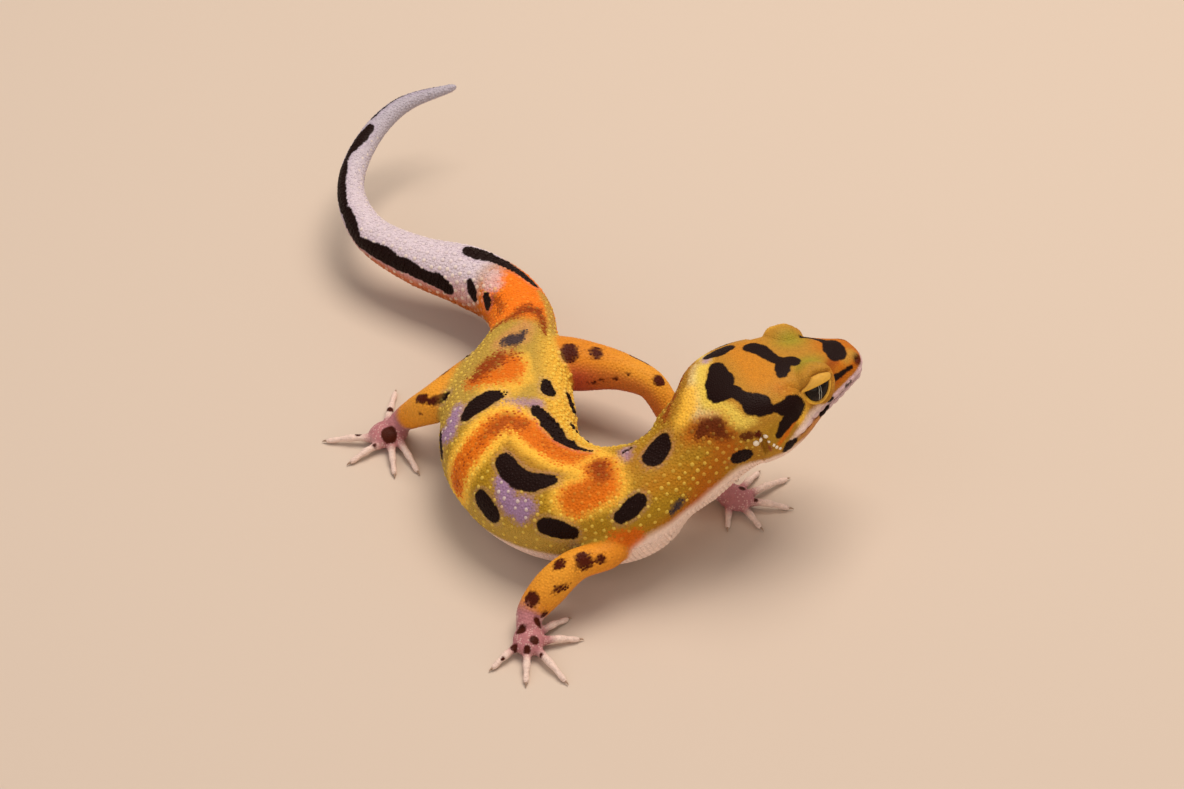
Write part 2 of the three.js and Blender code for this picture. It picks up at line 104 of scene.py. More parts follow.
# Limbs: places and radii from the root, inside the trunk, to the wrist or ankle.
LIMBS = {
    "arm_right": (
        ((6.2, -36.4, 9.0), 3.6),
        ((3.4, -42.9, 8.9), 2.3),
        ((-1.2, -44.7, 8.5), 2.45),
        ((-5.3, -47.0, 5.6), 2.7),
        ((-7.9, -49.4, 2.7), 2.1),
        ((-8.1, -51.4, 1.9), 1.8),
    ),
    "arm_left": (
        ((6.0, -29.0, 10.5), 3.4),
        ((9.6, -24.0, 8.8), 2.5),
        ((13.0, -20.6, 7.0), 2.5),
        ((17.2, -21.6, 4.6), 2.6),
        ((20.4, -22.8, 2.6), 2.1),
        ((21.4, -23.2, 1.9), 1.8),
    ),
    "leg_right": (
        ((-11.5, -1.0, 8.8), 4.4),
        ((-17.5, -6.9, 9.3), 3.8),
        ((-22.3, -10.6, 8.8), 3.1),
        ((-25.7, -9.3, 5.6), 2.4),
        ((-28.1, -8.3, 2.8), 1.9),
        ((-29.2, -9.0, 1.9), 1.8),
    ),
    "leg_left": (
        ((-7.5, -1.4, 8.9), 4.6),
        ((-1.0, -2.6, 9.3), 4.1),
        ((6.0, -4.9, 9.8), 2.9),
        ((9.9, -7.2, 9.4), 2.4),
        ((12.5, -9.3, 6.2), 2.2),
        ((14.9, -12.0, 2.7), 1.9),
        ((15.9, -13.2, 1.9), 1.8),
    ),
}

# Hands and feet: the palm's middle, half length, half width and heading, then each toe's root and
# tip on the floor, from the inner toe outwards.
FEET = {
    "arm_right": (
        ((-8.0, -52.9), 2.9, 2.4, 268),
        (
            ((-6.6, -51.2), (-2.6, -47.8)),
            ((-6.1, -52.8), (-1.0, -51.8)),
            ((-6.9, -54.4), (-2.9, -59.7)),
            ((-8.2, -55.0), (-8.3, -60.05)),
            ((-9.5, -53.8), (-13.0, -57.3)),
        ),
    ),
    "arm_left": (
        ((22.4, -23.6), 2.9, 2.4, 335),
        (
            ((21.4, -24.8), (21.1, -28.8)),
            ((23.2, -25.1), (25.9, -28.8)),
            ((24.4, -24.2), (30.2, -24.7)),
            ((24.4, -22.7), (30.1, -18.6)),
            ((23.1, -21.9), (26.0, -17.2)),
        ),
    ),
    "leg_right": (
        ((-30.0, -9.5), 3.3, 2.7, 205),
        (
            ((-28.2, -11.2), (-25.4, -16.6)),
            ((-29.5, -11.9), (-28.8, -17.2)),
            ((-31.2, -11.6), (-35.4, -14.7)),
            ((-32.4, -10.2), (-39.2, -10.0)),
            ((-30.4, -7.4), (-29.5, 0.8)),
        ),
    ),
    "leg_left": (
        ((16.6, -14.0), 3.3, 2.7, 320),
        (
            ((15.9, -15.9), (14.7, -20.2)),
            ((17.3, -16.1), (17.7, -21.0)),
            ((18.5, -15.3), (22.4, -18.0)),
            ((18.9, -13.6), (25.0, -12.0)),
            ((17.5, -12.0), (20.0, -6.6)),
        ),
    ),
}
PALM_THICK = 1.75
PALM_SUNK = 0.3

# A toe's shape at seven shares of its length: the height of its axis and its radius.
TOE_SHARES = (0, 0.3, 0.5, 0.72, 0.9, 1.0, 1.06)
TOE_HEIGHTS = (1.2, 1.2, 1.1, 0.84, 0.56, 0.45, 0.42)
TOE_RADII = (0.8, 0.56, 0.6, 0.44, 0.48, 0.4, 0.2)

# ---------------------------------------------------------------- curves and frames


def unit(v):
    """Vectors scaled to length one."""
    return v / np.maximum(np.linalg.norm(v, axis=-1, keepdims=True), 1e-9)


def smoothstep(low, high, x):
    """0 below low, 1 above high, and the cubic 3u2 - 2u3 between them."""
    u = np.clip((x - low) / (high - low), 0, 1)
    return u * u * (3 - 2 * u)


def rise_fall(start, full, fade, end, x):
    """0 outside start and end, 1 between full and fade, and a smoothstep on each side."""
    return smoothstep(start, full, x) * smoothstep(end, fade, x)


def near(x, middle, width):
    """A bell of the given half width round a middle."""
    return np.exp(-((x - middle) / width) ** 2)


def chain_lengths(points):
    """Running length of a chain of points."""
    return np.r_[0, np.cumsum(np.linalg.norm(np.diff(points, axis=0), axis=1))]


def smooth_curve(knots, rows):
    """A curve of numbers through knots: each span is the cubic that meets its neighbours' slopes, and
    a slope is the mean of the chords on both sides, each weighted by the other's length."""
    rows = np.asarray(rows, float)
    span = np.diff(knots)[:, None]
    chord = np.diff(rows, axis=0) / span
    slope = np.vstack([
        chord[:1],
        (chord[:-1] * span[1:] + chord[1:] * span[:-1]) / (span[:-1] + span[1:]),
        chord[-1:],
    ])

    def curve(t):
        """The cubic of the span that each t is in."""
        t = np.atleast_1d(t)
        i = np.clip(np.searchsorted(knots, t, side="right") - 1, 0, len(knots) - 2)
        h = span[i]
        u = (t[:, None] - knots[i][:, None]) / h
        return ((2 * u**3 - 3 * u**2 + 1) * rows[i] + (u**3 - 2 * u**2 + u) * h * slope[i]
                + (3 * u**2 - 2 * u**3) * rows[i + 1] + (u**3 - u**2) * h * slope[i + 1])

    return curve


def head_frame():
    """Rows forward, left and up of the head's own frame."""
    yaw, pitch, roll = (math.radians(HEAD[k]) for k in ("yaw", "pitch", "roll"))
    level_forward = np.array([math.cos(yaw), math.sin(yaw), 0.0])
    forward = level_forward * math.cos(pitch) + np.array([0.0, 0.0, math.sin(pitch)])
    level = np.array([-math.sin(yaw), math.cos(yaw), 0.0])
    up = np.cross(forward, level)
    left = level * math.cos(roll) + up * math.sin(roll)
    return np.array([forward, left, np.cross(forward, left)])


HEAD_AXES = head_frame()
SNOUT = np.array(HEAD["snout"])


def head_point(back, left, up):
    """A place in the head, from how far back, left and up it is."""
    return SNOUT + np.stack([-np.asarray(back, float), left, up], axis=-1) @ HEAD_AXES


def head_coords(points):
    """How far back, left and up of the snout's middle each point is."""
    local = (points - SNOUT) @ HEAD_AXES.T
    return -local[:, 0], local[:, 1], local[:, 2]


# ---------------------------------------------------------------- the body as one tube

BODY_ROWS = tuple(BODY_SECTIONS.values())
SPINE = np.array([head_point(row[0], 0, 0) for row in HEAD_SECTIONS] + [row[0] for row in BODY_ROWS])
SIZES = np.array([row[1:] for row in HEAD_SECTIONS + BODY_ROWS])
PLACES = chain_lengths(SPINE)
BODY_LENGTH = PLACES[-1]
spine_at = smooth_curve(PLACES, SPINE)
sizes_at = smooth_curve(PLACES, SIZES)
PLACE = dict(zip(BODY_SECTIONS, PLACES[len(HEAD_SECTIONS):]))


def spine_frames(s):
    """Centre, tailward direction, left and up of the spine at each place."""
    centre = spine_at(s)
    tangent = unit(spine_at(s + 0.1) - spine_at(s - 0.1))
    roll = np.radians(HEAD["roll"]) * np.clip((PLACE["neck"] - s) / ROLL_OUT, 0, 1)
    level = unit(np.cross(tangent, [0.0, 0.0, 1.0]))
    over = np.cross(level, tangent)
    left = level * np.cos(roll)[:, None] + over * np.sin(roll)[:, None]
    return centre, tangent, left, np.cross(left, tangent)


def end_rounding(s):
    """The share of its full size that the tube keeps near its ends, as a quarter circle."""
    def quarter(u):
        """The height of a quarter circle that starts at u = 0."""
        return np.sqrt(np.clip(1 - (1 - np.clip(u, 0, 1)) ** 2, 0, 1))
    return np.maximum(0.02, quarter(s / SNOUT_ROUND) * quarter((BODY_LENGTH - s) / TAIL_ROUND))


def body_surface(s, turn, coat=0.0):
    """The body's skin: at place s a superellipse with its own heights above and below the spine, drawn
    in at the nape. Turn runs round it in degrees from the back's midline, towards the animal's left."""
    centre, _, left, up = spine_frames(s)
    sizes = sizes_at(s)
    square = 2 / sizes[:, 3]
    scale = end_rounding(s)
    angle = np.radians(90 - turn)
    across = np.sign(np.cos(angle)) * np.abs(np.cos(angle)) ** square
    high = np.sign(np.sin(angle)) * np.abs(np.sin(angle)) ** square
    half = np.maximum(sizes[:, 0] * scale - coat, 0.02)
    tall = np.maximum(np.where(high > 0, sizes[:, 1], sizes[:, 2]) * scale - coat, 0.02)
    reach = left * (half * across)[:, None] + up * (tall * high)[:, None]
    bent = near((turn + 180) % 360 - 180, NAPE["turn"], NAPE["spread"])
    return centre + reach - unit(reach) * (NAPE["deep"] * near(s, NAPE["at"], NAPE["reach"]) * bent)[:, None]


def nearest_sample(points, samples, line):
    """For each point the sample whose place on a line is nearest, worked out in blocks of points."""
    best = np.empty(len(points))
    for i in range(0, len(points), BLOCK):
        gap = (line**2).sum(1)[None] - 2 * points[i:i + BLOCK] @ line.T
        best[i:i + BLOCK] = samples[gap.argmin(1)]
    return best


def body_coords(points):
    """For each point the spine's nearest place, the turn round it, and how far out it lies, where 1 is
    on the body's own surface."""
    samples = np.arange(0, BODY_LENGTH, 0.25)
    s = nearest_sample(points, samples, spine_at(samples))
    for _ in range(2):
        centre, tangent, _, _ = spine_frames(s)
        s = np.clip(s + ((points - centre) * tangent).sum(1), 0.02, BODY_LENGTH - 0.02)
    centre, _, left, up = spine_frames(s)
    off = points - centre
    sizes = sizes_at(s)
    scale = np.maximum(end_rounding(s), 0.2)
    x = (off * left).sum(1) / (sizes[:, 0] * scale)
    z = (off * up).sum(1)
    z = z / (np.where(z > 0, sizes[:, 1], sizes[:, 2]) * scale)
    power = sizes[:, 3]
    out = (np.abs(x) ** power + np.abs(z) ** power) ** (1 / power)
    across = np.sign(x) * np.abs(x) ** (power / 2)
    high = np.sign(z) * np.abs(z) ** (power / 2)
    return s, (270 - np.degrees(np.arctan2(high, across))) % 360 - 180, out


# ---------------------------------------------------------------- limbs


class Limb:
    """A round tube along a chain of joints: its axis, its radius, and a side direction carried along
    it without twist."""

    def __init__(self, joints):
        points = np.array([j[0] for j in joints], float)
        self.knots = chain_lengths(points)
        self.length = self.knots[-1]
        self.axis = smooth_curve(self.knots, points)
        self.radius = smooth_curve(self.knots, [[j[1]] for j in joints])
        self.steps = np.linspace(0, self.length, 61)
        tangents = self.direction(self.steps)
        side = np.array([0.0, 0.0, 1.0])
        sides = []
        for tangent in tangents:
            side = unit(side - tangent * side.dot(tangent))
            sides.append(side)
        self.sides = np.array(sides)

    def direction(self, t):
        """The axis's direction, towards the toes."""
        return unit(self.axis(t + 0.1) - self.axis(t - 0.1))

    def frames(self, t):
        """Centre, direction, the upper side and the side across."""
        tangent = self.direction(t)
        side = np.stack([np.interp(t, self.steps, self.sides[:, k]) for k in range(3)], axis=1)
        side = unit(side - tangent * (side * tangent).sum(1, keepdims=True))
        return self.axis(t), tangent, side, np.cross(tangent, side)

    def surface(self, t, turn, coat=0.0):
        """A place on the tube: a circle of the limb's radius round its axis. Turn is in degrees from
        the upper side."""
        centre, _, over, across = self.frames(t)
        angle = np.radians(turn)
        r = self.radius(t) - coat
        return centre + over * (r * np.cos(angle)[:, None]) + across * (r * np.sin(angle)[:, None])

    def coords(self, points):
        """The axis's nearest place, the turn round it, and how far out each point lies."""
        samples = np.linspace(0, self.length, 121)
        t = nearest_sample(points, samples, self.axis(samples))
        for _ in range(2):
            t = np.clip(t + ((points - self.axis(t)) * self.direction(t)).sum(1), 0, self.length)
        centre, _, over, across = self.frames(t)
        off = points - centre
        x, y = (off * over).sum(1), (off * across).sum(1)
        return t, np.degrees(np.arctan2(y, x)), np.linalg.norm(off, axis=1) / self.radius(t)[:, 0]


LIMB = {name: Limb(joints) for name, joints in LIMBS.items()}

# ---------------------------------------------------------------- meshes


def tube_mesh(rings):
    """Points and faces of a closed tube: quads between neighbouring rings, and a fan of triangles
    from a pole at the middle of each end."""
    rows, cols = rings.shape[:2]
    points = np.vstack([rings.reshape(-1, 3), rings[0].mean(0), rings[-1].mean(0)])
    i, j = np.meshgrid(np.arange(rows - 1), np.arange(cols), indexing="ij")
    a = (i * cols + j).ravel()
    b = (i * cols + (j + 1) % cols).ravel()
    quads = np.stack([a, b, b + cols, a + cols], axis=1)
    first = np.arange(cols)
    after = (first + 1) % cols
    last = (rows - 1) * cols
    fans = np.vstack([
        np.stack([np.full(cols, rows * cols), after, first], axis=1),
        np.stack([np.full(cols, rows * cols + 1), last + first, last + after], axis=1),
    ])
    return points, [quads, fans]


def tube_part(surface, along, turn, coat):
    """The closed tube of a surface that is worked out at a grid of places and turns."""
    grid_along, grid_turn = np.meshgrid(along, turn, indexing="ij")
    rings = surface(grid_along.ravel(), grid_turn.ravel(), coat)
    return tube_mesh(rings.reshape(len(along), len(turn), 3))


def globe(lat, lon):
    """Points of a ball of radius one at latitudes and longitudes in degrees."""
    la, lo = np.meshgrid(np.radians(lat), np.radians(lon), indexing="ij")
    return np.stack([np.cos(la) * np.cos(lo), np.cos(la) * np.sin(lo), np.sin(la)], axis=2)


def join_meshes(parts):
    """Several (points, face groups) as one."""
    points, groups, start = [], [], 0
    for part_points, part_groups in parts:
        points.append(part_points)
        groups += [group + start for group in part_groups]
        start += len(part_points)
    return np.vstack(points), groups


def make_object(name, points, groups, scale=MM, smooth=True):
    """An object holding a mesh of the points, in millimetres, and face groups."""
    mesh = bpy.data.meshes.new(name)
    mesh.vertices.add(len(points))
    mesh.vertices.foreach_set("co", (points * scale).astype(np.float32).ravel())
    corners = np.concatenate([group.ravel() for group in groups])
    totals = np.concatenate([np.full(len(group), group.shape[1]) for group in groups])
    mesh.loops.add(len(corners))
    mesh.loops.foreach_set("vertex_index", corners.astype(np.int32))
    mesh.polygons.add(len(totals))
    mesh.polygons.foreach_set("loop_start", np.r_[0, np.cumsum(totals)[:-1]].astype(np.int32))
    mesh.polygons.foreach_set("use_smooth", np.full(len(totals), smooth))
    mesh.update(calc_edges=True)
    piece = bpy.data.objects.new(name, mesh)
    bpy.context.scene.collection.objects.link(piece)
    return piece


def read_mesh(mesh):
    """Points and triangles of a mesh, as arrays."""
    points = np.empty(len(mesh.vertices) * 3)
    mesh.vertices.foreach_get("co", points)
    mesh.calc_loop_triangles()
    triangles = np.empty(len(mesh.loop_triangles) * 3, np.int32)
    mesh.loop_triangles.foreach_get("vertices", triangles)
    return points.reshape(-1, 3), triangles.reshape(-1, 3)


def store_values(piece, name, kind, field, values):
    """Stores numbers with the points of a piece as a named attribute."""
    layer = piece.data.attributes.new(name, kind, "POINT")
    layer.data.foreach_set(field, values.astype(np.float32).ravel())


def with_modifier(points, groups, kind, settings, weights=None):
    """The triangles left by one modifier on a mesh, still in millimetres."""
    piece = make_object("passing", points, groups, scale=1.0)
    if weights is not None:
        group = piece.vertex_groups.new(name="weights")
        for level in range(1, 11):
            chosen = np.flatnonzero(np.round(weights * 10) == level)
            group.add(chosen.tolist(), level / 10, "REPLACE")
    modifier = piece.modifiers.new(kind, kind)
    for key, value in settings.items():
        setattr(modifier, key, value)
    shown = piece.evaluated_get(bpy.context.evaluated_depsgraph_get())
    result = read_mesh(shown.to_mesh())
    shown.to_mesh_clear()
    mesh = piece.data
    bpy.data.objects.remove(piece)
    bpy.data.meshes.remove(mesh)
    return result


def mesh_normals(points, triangles):
    """Vertex normals: the sum of the neighbouring triangles' area vectors."""
    a, b, c = (points[triangles[:, k]] for k in range(3))
    area = np.cross(b - a, c - a)
    total = np.stack([
        sum(np.bincount(triangles[:, k], area[:, axis], len(points)) for k in range(3))
        for axis in range(3)
    ], axis=1)
    return unit(total)


def relax(points, triangles, weight, rounds):
    """Moves each point towards the mean of its neighbours by its weight, several times over."""
    ends = np.vstack([triangles[:, [0, 1]], triangles[:, [1, 2]], triangles[:, [2, 0]]])
    count = np.bincount(ends[:, 0], minlength=len(points))[:, None]
    for _ in range(rounds):
        mean = np.stack([
            np.bincount(ends[:, 0], points[ends[:, 1], k], len(points)) for k in range(3)
        ], axis=1) / count
        points = points + weight[:, None] * (mean - points)
    return points


# ---------------------------------------------------------------- where the eyes are


class Eye:
    """One eyeball in its socket. Its coordinates run over the ball in millimetres: forward and up
    from the point that faces straight out of the head."""

    def __init__(self, node, side):
        low, high = (np.array(corner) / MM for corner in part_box(node))
        self.centre = (low + high) / 2
        self.ball = float((high - low).max()) / 2
        forward, left, up = HEAD_AXES
        self.axes = np.array([forward, left * side, up])
        self.side = side

    def coords(self, points):
        """Distance from the ball's middle, and how far forward and up round the ball."""
        off = points - self.centre
        r = np.linalg.norm(off, axis=1)
        f, o, u = (off @ self.axes.T / r[:, None]).T
        return r, np.arctan2(f, o) * self.ball, np.arcsin(np.clip(u, -1, 1)) * self.ball, o

    def lids(self, points):
        """How far round the ball each point is from the opening between the lids, and further for
        points that stand away from the ball, and the same less the lids' width there. Both are 9 for
        points that aren't near the lids."""
        r, p, q, facing = self.coords(points)
        d, beyond = np.full(len(points), 9.0), np.full(len(points), 9.0)
        chosen = np.flatnonzero((r < 5.2) & (facing > -0.1))
        p, q = p[chosen], q[chosen]
        d[chosen] = opening_distance(p, q) + 0.8 * np.maximum(r[chosen] - self.ball - 0.7, 0)
        beyond[chosen] = d[chosen] - lid_widths(p, q)[2]
        return d, beyond


EYES = {"right": Eye("eye_right", -1), "left": Eye("eye_left", 1)}


def lid_distances(points):
    """The lids' two distances of each point, taken from the eye where they are less."""
    return np.min([eye.lids(points) for eye in EYES.values()], axis=0)


# The opening between the lids, on the ball: its middle and half length, the height of its corners,
# the rise of the upper lid's edge above them and the drop of the lower lid's edge below them.
OPENING = {"middle": 0.2, "half": 2.3, "corner": 0.75, "rise": 0.5, "drop": 2.15, "skew": -0.28}


def opening_edge(count):
    """The edge of the opening: from the rear corner over the upper lid to the front corner, and back
    under the ball. Each lid's edge is a parabola, and the lower one is deepest behind the middle."""
    u = -np.cos(np.linspace(0, math.pi, count + 1))
    over = OPENING["corner"] + OPENING["rise"] * (1 - u**2)
    lean = np.clip(u - OPENING["skew"] * (1 - u**2), -1, 1)
    under = OPENING["corner"] - OPENING["drop"] * (1 - lean**2)
    p = OPENING["middle"] + OPENING["half"] * u
    return np.vstack([np.stack([p, over], 1), np.stack([p, under], 1)[-2:0:-1]])


def opening_distance(p, q):
    """How far each point of the ball is outside the opening; less than 0 inside it."""
    edge = opening_edge(40)
    after = np.roll(edge, -1, axis=0)
    spot = np.stack([p, q], axis=1)[:, None]
    along = (after - edge)[None]
    t = np.clip(((spot - edge[None]) * along).sum(2) / (along**2).sum(2), 0, 1)
    distance = np.linalg.norm(spot - edge[None] - t[..., None] * along, axis=2).min(1)
    y0, y1 = edge[None, :, 1], after[None, :, 1]
    crosses = (y0 > q[:, None]) != (y1 > q[:, None])
    where = edge[None, :, 0] + (q[:, None] - y0) / np.where(y1 == y0, 1, y1 - y0) * along[..., 0]
    inside = (crosses & (where > p[:, None])).sum(1) % 2 == 1
    return np.where(inside, -distance, distance)


# ---------------------------------------------------------------- the skin

COAT = 0.12  # how far the skin lies inside the CAD nodes
LID_BALL = 3.5
VOXEL = 0.2
SKIN_TRIANGLES = 190000
MOUTH = {"front": -0.7, "rear": -2.1, "corner": 15.0}
WHORL = 1.5  # the distance between the tail's whorls


def body_part():
    """The body's tube, with rings every half millimetre and closer at the snout and the tip."""
    s = np.r_[0.0, 0.03, 0.1, 0.2, 0.35, np.arange(0.5, BODY_LENGTH - 0.6, 0.5),
              BODY_LENGTH - np.array([0.6, 0.35, 0.15, 0.05, 0.0])]
    return tube_part(body_surface, s, np.arange(0, 360, 3.75), COAT)


def ball_part(centre, radii, heading=0.0):
    """An ellipsoid as rings of latitude about its upright axis, turned to its heading."""
    local = globe(np.linspace(-88, 88, 25), np.arange(0, 360, 7.5)) * radii
    c, s = math.cos(math.radians(heading)), math.sin(math.radians(heading))
    return tube_mesh(local @ np.array([[c, s, 0], [-s, c, 0], [0, 0, 1]]) + centre)


def limb_part(limb, coat):
    """A limb's tube: circles of its radius along its axis, closed by a pole at each end."""
    return tube_part(limb.surface, np.linspace(0, limb.length, 70), np.arange(0, 360, 8.0), coat)


def toe_limb(root, tip):
    """A toe as a limb: it lies on the floor, arched a little, swollen at its two joints, and its
    tip is rounded."""
    root, tip = np.array(root), np.array(tip)
    at = root + np.outer(TOE_SHARES, tip - root)
    return Limb([((x, y, z), radius) for (x, y), z, radius in zip(at, TOE_HEIGHTS, TOE_RADII)])


TOES = {name: [toe_limb(*toe) for toe in toes] for name, (_, toes) in FEET.items()}


def foot_part(name):
    """A low rounded palm with its five toes."""
    (at, long, wide, heading), _ = FEET[name]
    centre = np.array([*at, PALM_THICK - PALM_SUNK])
    palm = ball_part(centre, np.array([long, wide, PALM_THICK]) - COAT, heading)
    return join_meshes([palm] + [limb_part(toe, 0.03) for toe in TOES[name]])


def raw_skin():
    """All the flesh joined to one closed surface, by remeshing the overlapping parts."""
    parts = [body_part()]
    parts += [ball_part(eye.centre, np.full(3, LID_BALL - COAT)) for eye in EYES.values()]
    parts += [limb_part(limb, COAT) for limb in LIMB.values()]
    parts += [foot_part(name) for name in FEET]
    settings = {"mode": "VOXEL", "voxel_size": VOXEL, "adaptivity": 0.0}
    return with_modifier(*join_meshes(parts), "REMESH", settings)


def mouth_height(back):
    """Height of the mouth's line in the head: it falls to the rear with a slight wave."""
    share = np.clip(back / MOUTH["corner"], 0, 1)
    return (MOUTH["front"] + (MOUTH["rear"] - MOUTH["front"]) * share
            - 0.18 * np.sin(share * 2 * math.pi) + 0.25 * smoothstep(0.85, 1.0, share))


class Where:
    """Where points of the skin are: on the body, on a limb or on a foot, with the coordinates there
    and a weight from 0 to 1 for each limb and foot."""

    def __init__(self, points):
        self.points = points
        self.s, self.turn, self.out = body_coords(points)
        self.back, self.left, self.up = head_coords(points)
        self.limbs = {}
        beyond = smoothstep(1.02, 1.14, self.out)
        for name, limb in LIMB.items():
            t, turn, out = coords_near(limb, points)
            weight = beyond * smoothstep(2.0, 1.3, out)
            away = np.linalg.norm(points[:, :2] - FEET[name][0][0], axis=1)
            foot = smoothstep(4.0, 2.8, points[:, 2]) * smoothstep(13.0, 11.5, away)
            tips = np.min([coords_near(toe, points)[2] for toe in TOES[name]], axis=0)
            on_foot = np.maximum(smoothstep(2.4, 1.5, tips), smoothstep(4.4, 3.2, away))
            foot = foot * on_foot * beyond
            self.limbs[name] = (t, turn, np.maximum(weight, foot), foot)
        self.limb_weight = np.max([entry[2] for entry in self.limbs.values()], axis=0)
        self.foot_weight = np.max([entry[3] for entry in self.limbs.values()], axis=0)

    def head_distance(self, back, left, up):
        """How far each point is from a place in the head."""
        return np.sqrt((self.back - back) ** 2 + (self.left - left) ** 2 + (self.up - up) ** 2)


def coords_near(limb, points, reach=5.0):
    """A limb's coordinates of the points near its axis; the others get an out-value of 9."""
    low, high = limb.axis(limb.steps).min(0) - reach, limb.axis(limb.steps).max(0) + reach
    chosen = np.flatnonzero(((points > low) & (points < high)).all(1))
    t, turn, out = np.zeros(len(points)), np.zeros(len(points)), np.full(len(points), 9.0)
    if len(chosen):
        t[chosen], turn[chosen], out[chosen] = limb.coords(points[chosen])
    return t, turn, out


def seam_weights(where, points):
    """How near each point is to where a limb leaves the trunk, for blending the two."""
    weight = np.zeros(len(points))
    for limb in LIMB.values():
        t, _, out = coords_near(limb, points)
        gap_body = (where.out - 1) * sizes_at(where.s)[:, 0]
        gap_limb = (out - 1) * limb.radius(t)[:, 0]
        reach = np.hypot(gap_body, gap_limb)
        weight = np.maximum(weight, smoothstep(2.6, 0.6, reach) * (t < limb.length * 0.6))
    return weight


def head_relief(where):
    """Height in millimetres that the head's forms add along the normal."""
    back, left, up = where.back, where.left, where.up
    on_head = smoothstep(24, 21, where.s) * (1 - where.limb_weight)
    above_mouth = up - mouth_height(back)
    side = np.abs(left)
    on_mouth = smoothstep(MOUTH["corner"] + 0.6, MOUTH["corner"] - 0.6, back)
    groove = -0.34 * near(above_mouth, 0, 0.2) * on_mouth
    lips = 0.14 * (near(above_mouth, 0.55, 0.4) + near(above_mouth, -0.5, 0.35)) * on_mouth
    outer = smoothstep(0, 2, side)
    brow = 0.28 * near(up - 3.4 + 0.25 * (back - 9), 0, 0.7) * near(back, 4.5, 3.2) * outer
    brow = brow + 0.35 * near(back, 9.5, 3.0) * near(left, 5.6, 2.2) * smoothstep(3.6, 5.2, up)
    cheek = 0.3 * near(back, 17.5, 3.2) * near(up, -2.5, 2.4)
    lore = -0.22 * near(back, 4.5, 2.2) * near(up, 1.2, 0.8) * outer
    crown = -0.32 * near(back, 9.2, 4.0) * near(left, 0, 2.2) * smoothstep(1, 3, up)
    nose = 0.0
    for sign in (-1, 1):
        nose = nose + 0.26 * near(where.head_distance(1.0, sign * 2.3, 1.25), 0, 0.95)
        nose = nose - 0.75 * near(where.head_distance(1.25, sign * 2.6, 1.25), 0, 0.36)
    ear = np.sqrt(((where.s - 19.7) / 0.55) ** 2 + ((np.abs(where.turn) - 93) / 7.5) ** 2)
    hole = -1.0 * smoothstep(1.5, 0.55, ear) * (where.out < 1.4)
    rim = 0.16 * near(ear, 1.9, 0.5)
    throat = -0.12 * near(np.abs(where.turn), 150, 14) * near(back, 9, 5)
    return on_head * (groove + lips + brow + cheek + lore + crown + nose + hole + rim + throat)


def lid_widths(p, q):
    """At each place of the ball: the share of the upper lid, that lid's width, which is greatest in
    front, and the width of whichever lid is there. The lower lid is a rim that thins towards the
    front."""
    u = (p - OPENING["middle"]) / OPENING["half"]
    above = q - OPENING["corner"] - 0.12 * u
    upper = smoothstep(-0.02, 0.22, above) * smoothstep(1.9, 1.55, u) * smoothstep(-1.3, -1.0, u)
    wide = 0.5 + 1.0 * smoothstep(-1.1, -0.1, u) - 0.35 * smoothstep(0.6, 1.4, u)
    rim = 0.44 + 0.18 * near(u, -0.2, 0.5) - 0.16 * smoothstep(0.1, 0.9, u)
    return upper, wide, rim + (wide * 1.05 - rim) * upper


def lid_shape(points, eye):
    """Shapes the skin round an eye. Inside the opening it sinks behind the ball. The upper lid is a
    thick visor, broadest in front, with a crease above it; the lower lid is a thin rim."""
    r, p, q, facing = eye.coords(points)
    chosen = np.flatnonzero((r < 5.4) & (facing > -0.1) & (np.abs(p) < 5.0) & (np.abs(q) < 4.6))
    r, p, q = r[chosen], p[chosen], q[chosen]
    d = opening_distance(p, q)
    u = (p - OPENING["middle"]) / OPENING["half"]
    upper, wide, edge = lid_widths(p, q)
    visor = 0.45 * np.clip(1 - ((d - wide * 0.45) / (wide * 0.6)) ** 2, 0, 1) ** 0.5
    rim = 0.2 * np.clip(1 - ((d - edge * 0.5) / (edge * 0.62)) ** 2, 0, 1) ** 0.6
    crease = -0.22 * near(d, edge + 0.1, 0.15) * (0.4 + 0.6 * upper)
    shape = eye.ball + 0.2 + upper * visor + (1 - upper) * rim + crease
    behind = smoothstep(-0.5, -1.3, u)
    shape = shape + (r - shape) * smoothstep(0.0, 0.8, (d - edge - 0.02) / (1 + behind))
    shape = shape + (eye.ball - 0.5 - shape) * smoothstep(0.08, -0.04, d)
    moved = points.copy()
    moved[chosen] = eye.centre + (points[chosen] - eye.centre) * (shape / r)[:, None]
    return moved


def tail_relief(where):
    """The tail's whorls: a shallow groove every millimetre and a half past the vent."""
    grow = smoothstep(PLACE["vent"], PLACE["tail_fat"], where.s) * (1 - where.limb_weight)
    thin = np.clip(sizes_at(where.s)[:, 0] / 4.9, 0.25, 1)
    return -0.10 * grow * thin * np.cos(2 * math.pi * where.s / WHORL) ** 8


def trunk_relief(where):
    """Soft forms of the trunk: a fold along each flank, wrinkles where the neck and the flank are
    squeezed on the inner side of their bends, a hollow under the right of the throat and a fuller
    chest behind it."""
    body = 1 - where.limb_weight
    flank = rise_fall(40, 48, 76, 84, where.s)
    fold = -0.16 * near(np.abs(where.turn), 112, 7) * flank
    inner = rise_fall(38, 46, 68, 78, where.s) * near(where.turn, 90, 42)
    wrinkles = 0.13 * inner * np.sin(2 * math.pi * where.s / 2.6 + 0.05 * where.turn)
    nape = near(where.s, 27, 5) * near(where.turn, 95, 40)
    throat = -1.3 * near(where.s, 35.4, 2.9) * near(where.turn, -125, 45)
    chest = 0.5 * near(where.s, 43.0, 3.2) * near(where.turn, -140, 35)
    return body * (fold + wrinkles + throat + chest + 0.10 * nape * np.sin(2 * math.pi * where.s / 1.7))


